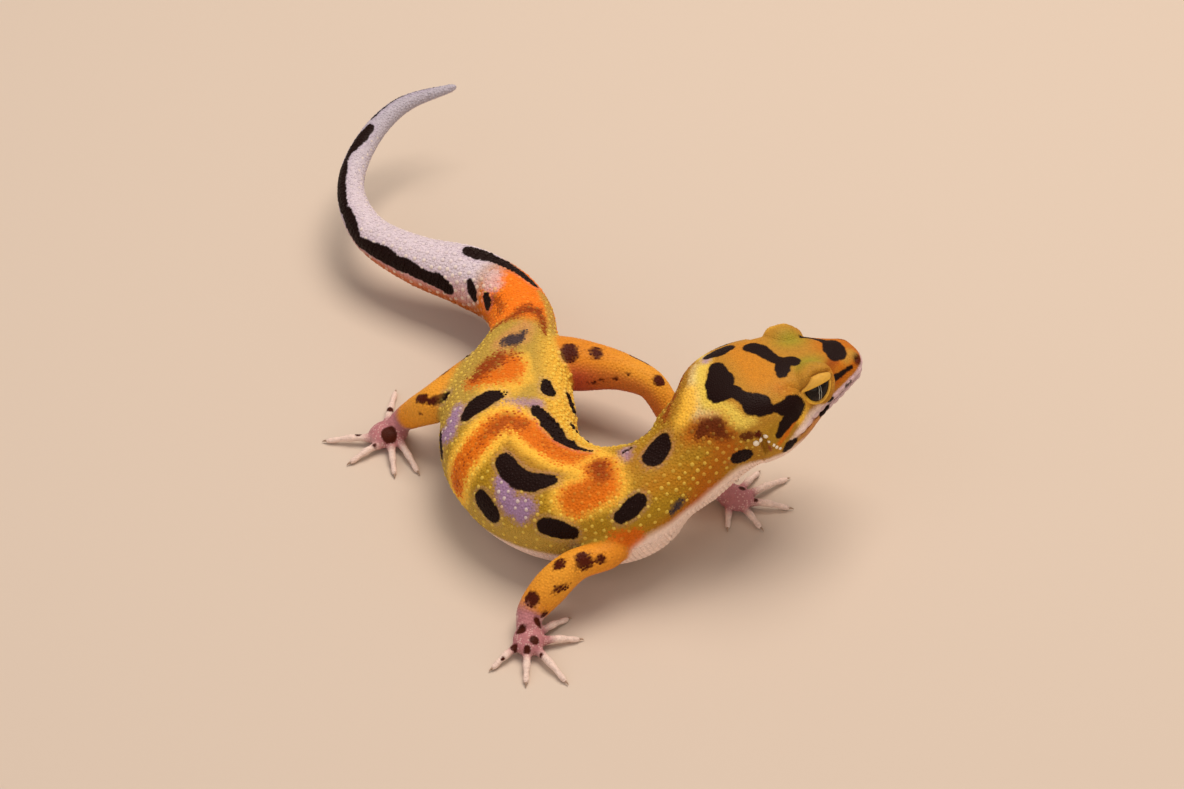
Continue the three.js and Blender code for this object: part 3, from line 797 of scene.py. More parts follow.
def build_skin():
    """The finished skin in millimetres: remeshed, smoothed, shaped, thinned and laid on the floor."""
    points, triangles = raw_skin()
    where = Where(points)
    small = where.foot_weight
    points = relax(points, triangles, 0.5 - 0.25 * small, 3)
    points = relax(points, triangles, 0.6 * seam_weights(where, points), 60)
    where = Where(points)
    relief = head_relief(where) + tail_relief(where) + trunk_relief(where)
    points = points + mesh_normals(points, triangles) * relief[:, None]
    for eye in EYES.values():
        points = lid_shape(points, eye)
    points = relax(points, triangles, 0.4 * smoothstep(1.9, 1.4, lid_distances(points)[0]), 2)
    points[:, 2] = np.maximum(points[:, 2], 0.03)
    fine = np.maximum(smoothstep(25, 21, where.s) * (1 - where.limb_weight), small)
    for eye in EYES.values():
        fine = np.maximum(fine, eye.coords(points)[0] < 5.0)
    settings = {
        "decimate_type": "COLLAPSE",
        "ratio": SKIN_TRIANGLES / len(triangles),
        "vertex_group": "weights",
        "vertex_group_factor": 1.0,
    }
    return with_modifier(points, [triangles], "DECIMATE", settings, 1 - 0.9 * fine)


skin_points, skin_triangles = build_skin()
skin_where = Where(skin_points)

# ---------------------------------------------------------------- markings


def linear(colour):
    """A colour written as sRGB hex, as linear red, green, blue and alpha."""
    values = [int(colour[i:i + 2], 16) / 255 for i in (1, 3, 5)]
    return tuple(v / 12.92 if v <= 0.04045 else ((v + 0.055) / 1.055) ** 2.4 for v in values) + (1.0,)


SHADES = {
    "saffron": "#aa7820",
    "olive": "#aa821c",
    "amber": "#f6bf42",
    "gold": "#b8963f",
    "bronze": "#b5812c",
    "copper": "#c98324",
    "sienna": "#be6c14",
    "tangerine": "#d88524",
    "orange": "#d86a0b",
    "rust": "#8e3a08",
    "umber": "#561a02",
    "straw": "#ebcd58",
    "butter_highlight": "#f4e0a0",
    "green": "#9a8c28",
    "lilac": "#9c7cae",
    "slate": "#332b36",
    "cream": "#f2d8ca",
    "pink": "#dd8668",
    "rose": "#c0583c",
    "mauve": "#b07478",
    "toe": "#e4ccc0",
    "white": "#d4c6cf",
    "shaded_tail_white": "#b4adb8",
    "pearl": "#eadcc6",
    "flesh": "#8c3a32",
    "lid": "#d09e42",
    "lip": "#cfb0b2",
    "brown": "#c4844a",
    "cinnamon": "#b45c0c",
    "fire": "#ee7a18",
    "ember": "#d4620c",
}
PALETTE = {name: np.array(linear(colour)[:3]) for name, colour in SHADES.items()}

# Ground colours of the body from place to place, and painted shade that greys the top of the tail's end:
# the colour, the four places between which it fades in and out, and the turn from the back's midline
# between which it grows from nothing to full.
ZONES = (
    ("olive", (24, 30, 62, 74), (0, 50)),
    ("gold", (60, 70, 87, 90), (-2, -1)),
    ("gold", (42, 48, 88, 94), (66, 92)),
    ("bronze", (-2, -1, 20, 24), (140, 110)),
    ("copper", (11.0, 15, 17, 20), (48, 12)),
    ("sienna", (-2, -1, 4, 8), (120, 70)),
    ("cinnamon", (27, 31, 35, 41), (70, 95)),
    ("fire", (87, 90, 99, 105), (150, 90)),
    ("white", (101, 106, 200, 201), (160, 120)),
    # Painted shade: the top of the tail's end turns a greyer, darker white towards the tip.
    ("shaded_tail_white", (128, 158, 200, 201), (180, 120)),
    ("cinnamon", (93, 98, 122, 134), (72, 115)),
    ("white", (125, 140, 200, 201), (110, 150)),
)


def belly_edge(s):
    """The turn from the back at which the belly's scales begin: high up the side at the throat and
    the shoulder, low along the flank."""
    return (106 - 18 * smoothstep(22, 28, s) + 17 * smoothstep(38, 45, s)
            + 22 * rise_fall(50, 62, 84, 94, s))


# The places and turns along the middle of the arc behind the shoulder.
ARC = ((60.7, -84), (60.9, -62), (61.2, -39), (62.5, -16), (63.2, -2), (60.6, 6), (56.3, 6), (51.3, 6),
       (46.2, 6))


def band(path, radius):
    """A chain of one radius along a path."""
    return tuple((*place, radius) for place in path)


# Soft-edged marks on the body: the shade, how soft the edge is and how strong the mark is, how far
# its granules stray over the edge, and its chain of places, turns and radii.
SOFT_MARKS = {
    "nape_band": ("straw", 0.8, 0.85, 0.3, ((20.6, 50, 0.9), (20.4, 26, 1.0), (21.9, 9, 1.2),
        (22.9, -2, 1.4), (23.0, -15, 1.5), (22.5, -33, 1.5), (21.8, -54, 1.0), (20.0, -62, 0.4))),
    # Partly the nape band's own pale yellow, and partly a painted highlight on its top.
    "nape_pale_highlight": ("butter_highlight", 0.9, 0.7, 0.3, ((21.4, 30, 0.3), (23.2, 6, 0.7), (24.6, -6, 0.8),
        (23.6, -24, 0.5))),
    "nape_left": ("amber", 0.9, 0.9, 0.3, ((23.4, 8, 1.3), (24.5, 2, 1.5), (26.4, 2, 1.2))),
    "lilac_flank": ("lilac", 0.8, 0.8, 0.5, ((55.4, -46, 1.1), (54.0, -56, 1.6), (53.0, -63, 1.6),
        (51.4, -56, 1.4), (51.9, -68, 1.3))),
    "lilac_side": ("lilac", 0.8, 0.8, 0.5, ((67.4, -45, 1.2), (65.3, -58, 1.6), (65.8, -70, 1.4))),
    "lilac_back": ("lilac", 0.6, 0.6, 0.5, ((66.7, -2, 0.8), (67.3, 24, 0.9))),
    "lilac_neck": ("lilac", 0.8, 0.6, 0.5, ((37.6, 10, 0.9), (37.0, 24, 0.9))),
    "lilac_crown": ("lilac", 0.6, 0.7, 0.4, ((20.6, 22, 0.7), (20.3, 30, 0.8))),
    "arc_halo": ("amber", 0.9, 0.95, 0.3, band(ARC, 3.5)),
    "arc": ("orange", 0.5, 0.95, 0.8, band(ARC, 2.0)),
    "arc_core": ("rust", 0.7, 0.75, 1.5, ((60.7, -84, 0.4), (61.2, -39, 0.0), (61.6, -28, 0.2),
        (62.2, -14, 1.1), (62.9, -3, 1.4), (61.4, 5, 0.8))),
    "arc_end": ("rust", 0.7, 0.5, 1.5, band(ARC[6:], 0.1)),
    "patch_halo": ("amber", 1.0, 0.9, 0.3, ((42.8, -3, 3.4), (41.7, -24, 3.4), (46.4, -39, 3.4))),
    "patch": ("orange", 0.9, 0.95, 0.7, ((42.8, -3, 2.4), (41.9, -24, 2.4), (46.0, -39, 2.6))),
    "patch_core": ("rust", 0.8, 0.95, 1.1, ((43.0, 0, 1.5), (42.4, -12, 1.3))),
    "patch_side": ("cinnamon", 0.8, 0.6, 1.2, ((46.6, -36, 1.2), (42.4, -22, 0.8))),
    "rump_glow": ("amber", 0.8, 0.7, 0.3, ((70.4, -16, 1.4), (70.4, -12, 1.9), (70.4, -2, 2.3),
        (73.2, 8, 1.9), (78.0, 6, 1.6))),
    "rump_orange": ("orange", 0.6, 0.95, 0.8, ((72.6, -30, 1.3), (73.4, -14, 2.0), (73.2, -1, 1.9),
        (76.0, 2, 1.9), (78.3, -4, 1.3))),
    "rump_rust": ("rust", 0.6, 0.98, 1.2, ((72.9, -29, 0.8), (74.6, -24, 1.5), (76.4, -19, 1.7),
        (78.4, -9, 1.1), (78.6, 0, 0.6))),
    "loin_pale": ("pink", 0.8, 0.35, 0.3, ((81.6, -12, 1.8), (83.4, -2, 2.2), (86.2, 4, 1.6))),
    "shoulder": ("ember", 0.8, 0.9, 0.7, ((41.6, -90, 1.7), (40.0, -89, 1.4), (42.6, -98, 1.7))),
    "tail_fire": ("fire", 1.0, 0.75, 0.8, ((97.0, -18, 1.4), (96.3, 0, 1.8), (94.4, 20, 1.8),
        (92.6, -20, 1.0))),
    "tail_yellow": ("gold", 0.8, 0.85, 0.5, ((88.0, 56, 1.4), (91.5, 60, 1.6), (95.0, 52, 1.3))),
    "tail_band": ("rust", 0.55, 1.0, 0.6, ((87.0, -51, 0.5), (87.8, -34, 0.45), (88.8, -15, 0.6),
        (90.4, -2, 0.9), (90.8, 10, 1.1), (90.6, 22, 1.0), (88.4, 32, 0.6), (85.7, 35, 0.3))),
    "tail_streak": ("rust", 0.5, 0.75, 0.9, ((96.8, -50, 1.0), (94.0, -40, 0.5), (91.9, -40, 0.6))),
    "tail_white": ("white", 0.9, 0.6, 0.5, ((98.9, -28, 1.0), (100.4, -36, 1.4), (101.4, -18, 1.5))),
    "neck_halo": ("cinnamon", 1.0, 0.7, 0.7, ((26.9, -14, 1.7), (25.6, -21, 2.2), (24.6, -30, 2.2),
        (25.1, -42, 2.0))),
    "snout_rust": ("rust", 0.6, 0.75, 0.3, ((5.0, -34, 0.8), (5.9, -42, 0.8), (6.5, -58, 0.5))),
    "temple_glow": ("sienna", 0.9, 0.5, 0.2, ((14.6, -38, 1.0), (13.4, -46, 1.0))),
    "snout_gold": ("gold", 0.8, 0.6, 0.2, ((3.0, -44, 0.7), (1.6, -26, 0.8))),
    "lore_rust": ("cinnamon", 0.6, 0.85, 0.2, ((6.4, -60, 0.8), (7.6, -66, 0.6), (8.0, -80, 0.6),
        (6.3, -82, 0.7), (4.4, -80, 0.4))),
    "brow_green": ("green", 0.9, 0.7, 0.2, ((10.2, -29, 0.9), (8.8, -33, 0.7))),
    "cheek_gold": ("amber", 0.5, 0.8, 0.2, ((10.8, -76, 0.8), (11.8, -85, 0.9), (13.4, -89, 0.8))),
    "cheek_cream": ("cream", 0.45, 0.85, 0.1, ((9.4, -91, 0.4), (11.2, -91, 0.6), (12.8, -92, 0.65),
        (14.4, -95, 0.6), (15.8, -98, 0.4))),
    "cheek_orange": ("orange", 0.3, 0.8, 0.1, ((13.7, -84, 0.3), (14.9, -87, 0.4), (16.2, -90, 0.45),
        (17.5, -93, 0.35))),
    "neck_rust": ("umber", 0.5, 0.9, 0.5, ((26.5, -16, 0.9), (25.3, -22, 1.4), (24.4, -29, 1.3),
        (24.9, -40, 1.0), (24.6, -50, 0.6))),
    "neck_low": ("cinnamon", 1.2, 0.35, 0.5, ((36.4, -34, 1.2), (33.6, -42, 1.7), (30.8, -58, 2.0))),
    "neck_side": ("cinnamon", 1.4, 0.7, 0.7, ((26.0, -62, 1.8), (30.0, -70, 1.8), (33.0, -84, 1.6))),
    "neck_left": ("rust", 0.5, 0.85, 0.9, ((21.2, 52, 0.5), (23.4, 40, 0.6), (25.2, 34, 0.7),
        (27.0, 26, 0.9))),
    "ear_brown": ("umber", 0.25, 0.9, 0.2, ((22.9, -67, 0.65), (22.1, -72, 0.7))),
    "ear_brown_2": ("umber", 0.2, 1.0, 0.2, ((20.4, -80, 0.6),)),
    "ear_flesh": ("flesh", 0.3, 0.8, 0.2, ((19.9, -91, 0.45), (19.1, -95, 0.5))),
    "ear_flesh_left": ("flesh", 0.4, 0.9, 0.2, ((19.8, 95, 0.8),)),
    "loin_slate": ("slate", 0.2, 0.95, 0.15, ((82.0, -9, 1.25), (82.8, -2, 1.5), (84.2, 3, 0.7),
        (85.4, 5, 0.35))),
    "throat_slate": ("slate", 0.3, 0.95, 0.4, ((35.7, -78, 0.95), (34.8, -73, 0.85))),
    "tail_pink": ("pink", 1.5, 0.4, 0.5, ((106.0, -78, 1.6), (112.0, -95, 2.0), (122.0, -110, 1.6))),
}

# Dark marks with crisp edges, and a thin line of painted shade along the tail's tip: chains of places,
# turns and radii. Those on the limbs are chains on the limb's own places and turns, and those on the feet
# are round: a place on the floor and a radius.
BODY_DARKS = {
    "side_oval": ((65.8, -34, 1.1), (66.9, -24, 1.7), (68.2, -12, 1.6), (68.9, -3, 0.8)),
    "back_wedge": ((73.9, 31, 0.5), (72.6, 32, 1.0), (71.0, 33, 1.3)),
    "back_band": ((65.2, 21, 0.9), (63.6, 23, 1.3), (61.6, 28, 1.25), (59.4, 26, 1.6), (57.2, 26, 1.4),
        (54.6, 21, 1.0), (52.2, 22, 1.1), (49.4, 20, 0.6), (45.9, 21, 0.4)),
    "kidney": ((57.0, -26, 1.4), (55.6, -30, 1.7), (53.8, -33, 1.6), (51.8, -30, 1.55), (49.8, -22, 1.0)),
    "flank_spot": ((56.6, -74, 1.6), (55.3, -81, 1.75)),
    "rib_spot": ((49.3, -73, 1.45), (47.9, -75, 1.55), (46.6, -78, 1.15)),
    "shoulder_bar": ((40.6, -63, 1.0), (39.4, -55, 1.35), (38.1, -46, 1.2)),
    "nape_spot": ((33.3, -1, 1.85), (31.8, 2, 1.8), (30.9, 6, 1.3)),
    "side_edge": ((66.6, -80, 1.0), (65.0, -84, 1.1)),
    "neck_spot": ((25.8, -80, 1.35), (25.2, -84, 1.35)),
    "crown_blob": ((20.3, 6, 1.2), (20.9, -3, 2.25), (21.4, -10, 2.1), (20.4, -20, 1.1), (19.9, -30, 0.95),
        (19.2, -42, 1.75), (18.4, -47, 1.7), (17.6, -54, 1.0), (16.9, -57, 0.5)),
    "eye_blob": ((16.9, -57, 0.5), (15.6, -64, 1.1), (14.1, -67, 1.6), (13.1, -70, 1.5),
        (12.6, -76, 1.4)),
    "temple_tail": ((13.4, -74, 1.5), (14.8, -79, 1.3), (16.1, -84, 1.0), (17.3, -89, 0.6)),
    "bone": ((14.4, 13, 1.3), (13.4, 6, 1.25), (12.7, -1, 1.05), (11.8, -6, 1.15), (10.6, -8, 1.4)),
    "bone_foot": ((12.0, -9, 1.2), (12.7, -15, 1.15), (13.2, -20, 0.9)),
    "snout_blob": ((3.4, 3, 1.5), (3.8, -12, 1.8), (4.5, -22, 1.15)),
    "snout_line": ((3.7, 8, 0.8), (4.6, 20, 0.6), (5.7, 26, 0.5), (7.2, 31, 0.4)),
    "crown_edge": ((20.0, 28, 1.0), (19.0, 25, 1.4), (17.6, 26, 1.15), (16.9, 27, 0.7)),
    "lore": ((8.4, -77, 0.5), (7.6, -75, 0.75), (6.3, -72, 0.62), (4.8, -73, 0.5), (2.6, -69, 0.32)),
    "lip_bar_1": ((8.4, -89, 0.6), (7.5, -95, 0.45)),
    "lip_bar_2": ((3.6, -97, 0.35), (4.6, -98, 0.3)),
    "lip_bar_3": ((9.8, -107, 0.5), (8.4, -104, 0.45)),
    "jaw_corner": ((16.9, -104, 0.7), (16.3, -102, 0.9), (15.4, -101, 0.6)),
    # Painted shade: a thin dark line along the outer edge of the tail's tip.
    "tail_tip_shade_line": ((164.5, -44, 0.18), (158.1, -40, 0.3), (152.4, -36, 0.35)),
    "tail_bar_1": ((150.2, -3, 0.9), (147.6, -14, 1.2), (145.0, -30, 1.0)),
    "tail_join": ((145.4, -30, 0.6), (140.9, -50, 0.6)),
    "tail_bar_2": ((141.4, -50, 1.1), (137.0, -54, 1.3), (132.9, -60, 1.2)),
    "tail_bar_3": ((131.4, -54, 1.2), (128.8, -66, 1.5), (126.4, -84, 1.1)),
    "tail_bar_4": ((126.0, -78, 1.0), (123.4, -72, 1.3), (121.6, -68, 1.5), (119.4, -72, 1.3),
        (117.0, -68, 1.2), (114.2, -76, 1.1), (111.8, -76, 1.4), (109.6, -84, 1.2)),
    "tail_far": ((108.4, 12, 1.6), (107.0, 14, 1.9), (105.0, 18, 1.4), (102.8, 23, 1.3), (99.7, 30, 1.0),
        (97.0, 40, 0.8)),
    "tail_drop": ((105.0, -52, 0.6), (103.9, -66, 0.95), (102.9, -78, 0.65)),
    "tail_drop_2": ((99.0, -60, 0.9), (97.6, -66, 1.05)),
    "left_shoulder": ((42.0, 58, 1.3), (40.0, 66, 1.1)),
    "left_ribs": ((50.5, 66, 1.5), (48.6, 74, 1.3)),
    "left_flank": ((59.0, 76, 1.4), (61.0, 68, 1.4)),
    "left_loin": ((71.5, 72, 1.3), (73.0, 64, 1.0)),
    "left_neck": ((31.5, 62, 1.4), (30.0, 70, 1.3)),
    "left_temple": ((17.8, 54, 1.6), (15.5, 62, 1.5), (13.2, 64, 1.3)),
    "left_tail": ((116.0, 84, 1.1), (120.0, 92, 1.1), (125.0, 96, 1.0)),
    "left_tail_end": ((135.0, 110, 0.8), (141.0, 118, 0.7)),
    "neck_tick": ((38.0, 16, 0.25), (36.8, 22, 0.4), (35.3, 27, 0.3)),
    "right_hip": ((80.5, -68, 1.0), (82.0, -76, 0.8)),
}
LIMB_DARKS = {
    "arm_right": (((13.8, -3, 0.95),), ((11.2, -32, 1.1), (11.0, -44, 1.2), (11.5, -56, 0.7)),
        ((9.0, -50, 0.75),), ((15.2, -80, 0.5), (16.4, -60, 0.55)), ((19.6, -18, 1.2),),
        ((20.5, -96, 0.6),), ((16.0, 70, 0.8),), ((11.5, 80, 0.7),)),
    "arm_left": (((9.5, 30, 0.9),), ((13.0, -20, 0.8),), ((17.0, 25, 0.9),), ((20.0, -40, 0.6),)),
    "leg_right": (((15.1, -12, 0.8), (15.9, 0, 0.6)), ((12.8, -46, 0.8), (14.6, -30, 0.6)),
        ((13.3, -66, 0.4),), ((16.1, -51, 0.35),), ((18.0, 60, 0.8),), ((11.0, 50, 0.9),)),
    "leg_left": (((5.9, 28, 1.3), (5.6, 16, 1.25)), ((9.9, 12, 1.0), (9.6, 4, 0.9)), ((14.2, -42, 0.45),
        (16.8, -45, 0.45)), ((19.0, 0, 1.0),), ((10.1, 93, 0.33),), ((11.3, 84, 0.3),), ((13.6, 72, 0.32),),
        ((15.5, 42, 0.28),), ((12.5, -60, 0.9),), ((21.0, -70, 0.6),)),
}
FOOT_DARKS = (
    (-9.1, -52.3, 0.7), (-6.8, -51.1, 0.5), (-7.2, -54.1, 0.65), (-10.1, -54.6, 0.5), (-8.2, -55.4, 0.5),
    (-11.6, -56.4, 0.3), (-6.2, -55.9, 0.25), (-29.8, -11.0, 1.2), (-30.0, -4.2, 0.5), (-34.6, -9.8, 0.5),
    (-32.0, -12.4, 0.3), (23.4, -23.0, 0.5), (25.4, -24.4, 0.3), (17.2, -14.8, 0.6), (19.4, -12.4, 0.3),
)


def chain_distance(points, anchors, radii):
    """How far inside a chain of tapered capsules each point is; less than 0 outside."""
    best = np.full(len(points), -9.0)
    if len(anchors) == 1:
        anchors, radii = np.repeat(anchors, 2, axis=0), np.repeat(radii, 2)
    low, high = anchors.min(0) - 6, anchors.max(0) + 6
    chosen = np.flatnonzero(((points > low) & (points < high)).all(1))
    part = points[chosen]
    for a, b, ra, rb in zip(anchors[:-1], anchors[1:], radii[:-1], radii[1:]):
        along = b - a
        t = np.clip((part - a) @ along / max(along @ along, 1e-9), 0, 1)
        inside = ra + (rb - ra) * t - np.linalg.norm(part - a - t[:, None] * along, axis=1)
        best[chosen] = np.maximum(best[chosen], inside)
    return best


def body_chain(points, chain):
    """Distance inside a chain given by places and turns on the body."""
    s, turn, radii = np.array(chain, float).T
    return chain_distance(points, body_surface(s, turn, COAT), radii)


def dark_distance(points):
    """How far inside the nearest dark mark each point is, in millimetres; less than 0 outside."""
    dark = np.full(len(points), -9.0)
    for chain in BODY_DARKS.values():
        dark = np.maximum(dark, body_chain(points, chain))
    for name, chains in LIMB_DARKS.items():
        for chain in chains:
            t, turn, radii = np.array(chain, float).T
            anchors = LIMB[name].surface(t, turn, COAT)
            dark = np.maximum(dark, chain_distance(points, anchors, radii))
    for x, y, radius in FOOT_DARKS:
        away = np.hypot(points[:, 0] - x, points[:, 1] - y)
        dark = np.maximum(dark, np.where((points[:, 2] < 4.2) & (points[:, 2] > 1.0), radius - away, -9))
    return np.clip(np.minimum(dark, 3 * lid_distances(points)[1]), -2, 2)


def paint_limbs(where, lay, grain):
    """Limb colours: orange above, pale pink below, a darker red of painted shade under the left hind leg,
    and a mauve foot with paler toes.
    """
    for name, (t, turn, weight, foot) in where.limbs.items():
        below = smoothstep(105, 150, np.abs(turn)) * weight
        lay("tangerine", weight)
        lay("amber", 0.3 * weight * near(t, LIMB[name].length * 0.6, 6))
        # Under the left hind leg the pink is painted as it looks in shade, and so is a band along its thigh.
        lay("rose" if name == "leg_left" else "pink", below)
        if name == "leg_left":
            inner = smoothstep(1, 4, t) * (1 - 0.5 * smoothstep(7, 12, t))
            lay("rose", weight * smoothstep(30, 80, turn) * inner)
        wrist = smoothstep(LIMB[name].length - 4.5, LIMB[name].length - 2.0, t)
        lay("mauve", np.maximum(foot, wrist * weight))
        away = np.linalg.norm(where.points[:, :2] - FEET[name][0][0], axis=1)
        lay("toe", foot * smoothstep(2.4, 4.5, away))
        lay("toe", foot * 0.35 * (grain > 0.35))


def paint_head(where, lay):
    """Head colours: green brows, the cheek, the pale band above the mouth with rust over it, and
    the brown lower jaw that pales to the throat."""
    back, side, up = where.back, np.abs(where.left), where.up
    on = smoothstep(23, 20, where.s) * (1 - where.limb_weight)
    above = up - mouth_height(back)
    flank = on * smoothstep(1.0, 2.4, side)
    in_front = smoothstep(16, 12, back)
    lay("green", on * 0.95 * near(back, 8.6, 2.4) * near(side, 3.0, 1.6) * smoothstep(2, 3.5, up))
    lay("amber", on * 0.6 * near(back, 8.8, 3.0) * near(where.left, 6.6, 0.9) * smoothstep(2.5, 4.0, up))
    lay("olive", flank * 0.8 * near(back, 17.5, 3.6) * near(up, 0.8, 2.4))
    lay("cinnamon", flank * in_front * 0.75 * near(above, 2.3, 0.6) * smoothstep(9, 5, back))
    lay("lip", flank * smoothstep(1.35, 1.05, above) * smoothstep(-0.2, 0.0, above)
        * smoothstep(15.5, 14, back))
    lay("lip", on * smoothstep(1.6, 1.0, above) * smoothstep(-0.2, 0.0, above) * smoothstep(2.4, 1.2, back))
    lay("lip", on * smoothstep(0.05, -0.1, above) * smoothstep(11, 8, back))
    lay("brown", on * smoothstep(0.05, -0.1, above) * in_front * smoothstep(8, 11, back))
    lay("cream", on * smoothstep(-1.5, -2.4, above) * smoothstep(19, 14, back))
    lay("cream", on * smoothstep(-1.9, -3.2, above) * smoothstep(22, 16, back))
    for sign in (-1, 1):
        lay("umber", on * smoothstep(1.3, 0.6, where.head_distance(1.25, sign * 2.6, 1.25)))
    for eye in EYES.values():
        d, beyond = eye.lids(where.points)
        # Painted shade: a dark brown line in the crease just outside each lid.
        lay("umber", on * 0.5 * near(beyond, 0.1, 0.14))
        lay("lid", on * smoothstep(0.1, -0.1, beyond))
        # Painted highlight: a bright amber line along the rim of each lid.
        lay("amber", on * 0.6 * near(d, 0.24, 0.13))
        lay("umber", on * smoothstep(0.10, 0.0, d))


def paint(where, grain=0.0):
    """Ground colour and dark distance of each point: the zones of the body, its soft marks, then head
    and limbs. Grain, one number a point, frays the edges of the soft marks. The fourth number of the
    colour is how dark the dark marks are there: those on the limbs are brown."""
    ground = np.tile(PALETTE["saffron"], (len(where.s), 1))

    def lay(name, weight):
        """Mixes a shade over the colours by its weight from 0 to 1."""
        ground[:] += (PALETTE[name] - ground) * np.clip(weight, 0, 1)[:, None]

    turn = np.abs(where.turn)
    for name, (start, full, fade, end), (low, high) in ZONES:
        lay(name, rise_fall(start, full, fade, end, where.s) * smoothstep(low, high, turn))
    below = turn - belly_edge(where.s)
    lay("cream", smoothstep(102, 94, where.s) * smoothstep(-2, 8, below))
    lay("amber", 0.75 * smoothstep(12, 45, where.turn) * smoothstep(125, 105, turn)
        * rise_fall(34, 46, 80, 92, where.s))
    paint_head(where, lay)
    for name, soft, strength, stray, chain in SOFT_MARKS.values():
        inside = body_chain(where.points, chain) + grain * stray
        lay(name, strength * smoothstep(-soft, soft, inside) * (1 - 0.9 * where.foot_weight))
    paint_limbs(where, lay, grain)
    dark = dark_distance(where.points)
    lay("lilac", 0.15 * near(dark, -0.2, 0.3) * smoothstep(24, 34, where.s) * (1 - where.limb_weight))
    lay("umber", where.limb_weight * smoothstep(-0.15, 0.1, dark))
    ink = 1 - (0.7 - 0.2 * where.foot_weight) * where.limb_weight
    return np.concatenate([ground, ink[:, None]], axis=1), dark

# ---------------------------------------------------------------- the unwrap


def chart(where):
    """The skin's own unwrap. The body is one strip, place along it and turn across it; each limb is a
    narrower strip below it, and each foot a square seen from above."""
    u = 0.02 + 0.96 * where.s / BODY_LENGTH
    v = 0.37 + 0.6 * (where.turn % 360) / 360
    for row, (name, (t, turn, weight, foot)) in enumerate(where.limbs.items()):
        on_limb = weight > 0.5
        u = np.where(on_limb, 0.02 + 0.5 * t / LIMB[name].length, u)
        v = np.where(on_limb, 0.02 + 0.085 * row + 0.075 * (turn % 360) / 360, v)
        off = where.points[:, :2] - FEET[name][0][0]
        on_foot = foot > 0.5
        u = np.where(on_foot, 0.62 + 0.11 * (row + off[:, 0] / 26), u)
        v = np.where(on_foot, 0.18 + 0.11 * off[:, 1] / 26, v)
    return np.stack([u, v], axis=1)


# ---------------------------------------------------------------- scales

PATCH = 0.0014  # half the width of a scale's patch on the unwrap

# Granules on the head and feet, and elsewhere: the gap between them, their radius and the seed of
# their scatter. Those nearer than their clearance to a tubercle are left out.
FINE_GRANULES = {"gap": 0.30, "radius": 0.165, "seed": 3}
PLAIN_GRANULES = {"gap": 0.42, "radius": 0.235, "seed": 4}
CLEARANCE = 0.34

# Tubercles and the belly's scales: how far apart their rows are, how far apart they stand in a row,
# and their radius and height. A belly scale is tilted by its tilt.
TUBERCLES = {"pitch": 1.24, "apart": 1.5, "radius": 0.3, "tall": 0.17}
BELLY = {"pitch": 0.47, "apart": 0.5, "radius": 0.27, "tall": 0.09, "tilt": 0.16}


def dome(sides, levels):
    """A closed bump of radius one and height one: rings at the given heights on a quarter circle, a
    top point, and a flat underside."""
    turn = np.arange(sides) * 2 * math.pi / sides
    rings = np.array([[math.sqrt(1 - h * h), h] for h in levels])
    points = np.vstack([
        np.stack([np.outer(rings[:, 0], np.cos(turn)), np.outer(rings[:, 0], np.sin(turn)),
                  np.repeat(rings[:, 1:], sides, axis=1)], axis=2).reshape(-1, 3),
        [[0, 0, 1.0]],
    ])
    first = np.arange(sides)
    after = (first + 1) % sides
    faces = []
    for row in range(len(levels) - 1):
        low, high = row * sides, (row + 1) * sides
        faces.append(np.stack([low + first, low + after, high + after], axis=1))
        faces.append(np.stack([low + first, high + after, high + first], axis=1))
    top = (len(levels) - 1) * sides
    faces.append(np.stack([top + first, top + after, np.full(sides, len(points) - 1)], axis=1))
    faces.append(np.stack([np.zeros(sides - 2, int), first[2:], first[1:-1]], axis=1))
    return points, np.vstack(faces)


def scale_axes(normals, along):
    """Two directions in the surface for each scale: one as near as can be to `along`, and one across."""
    flat = unit(along - normals * (along * normals).sum(1, keepdims=True))
    return flat, np.cross(normals, flat)


def plant(name, shape, roots, normals, along, sizes, colours, corners):
    """One joined mesh of scales. Each root gets the unit shape, stretched by its sizes (along, across,
    high), standing on the surface. The ground colour is the root's own, and so is the patch of the
    unwrap, while the dark marks cross a scale where they cross the skin."""
    unit_points, unit_faces = shape
    flat, across = scale_axes(normals, along)
    local = unit_points[None] * sizes[:, None]
    points = (roots[:, None] + local[..., :1] * flat[:, None] + local[..., 1:2] * across[:, None]
              + local[..., 2:] * normals[:, None]).reshape(-1, 3)
    count = len(unit_points)
    faces = (unit_faces[None] + (np.arange(len(roots)) * count)[:, None, None]).reshape(-1, 3)
    points[:, 2] = np.maximum(points[:, 2], 0.0)
    piece = make_object(name, points, [faces])
    add_paint(piece, np.repeat(colours, count, axis=0), dark_distance(points))
    layout = piece.data.uv_layers.new(name="OFBake")
    places = (corners[:, None] + unit_points[None, :, :2] * PATCH).reshape(-1, 2)
    layout.data.foreach_set("uv", places[faces.ravel()].astype(np.float32).ravel())
    finish_piece(piece, SCALES)


def add_paint(piece, colours, dark):
    """Stores ground colour and dark distance as attributes of the points."""
    store_values(piece, "ground", "FLOAT_COLOR", "color", colours)
    store_values(piece, "dark", "FLOAT", "value", dark)


def finish_piece(piece, material, replaced=()):
    """Gives a piece its material, its body and the nodes it stands for."""
    piece.data.materials.append(material)
    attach(piece, "root")
    if replaced:
        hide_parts(*replaced)


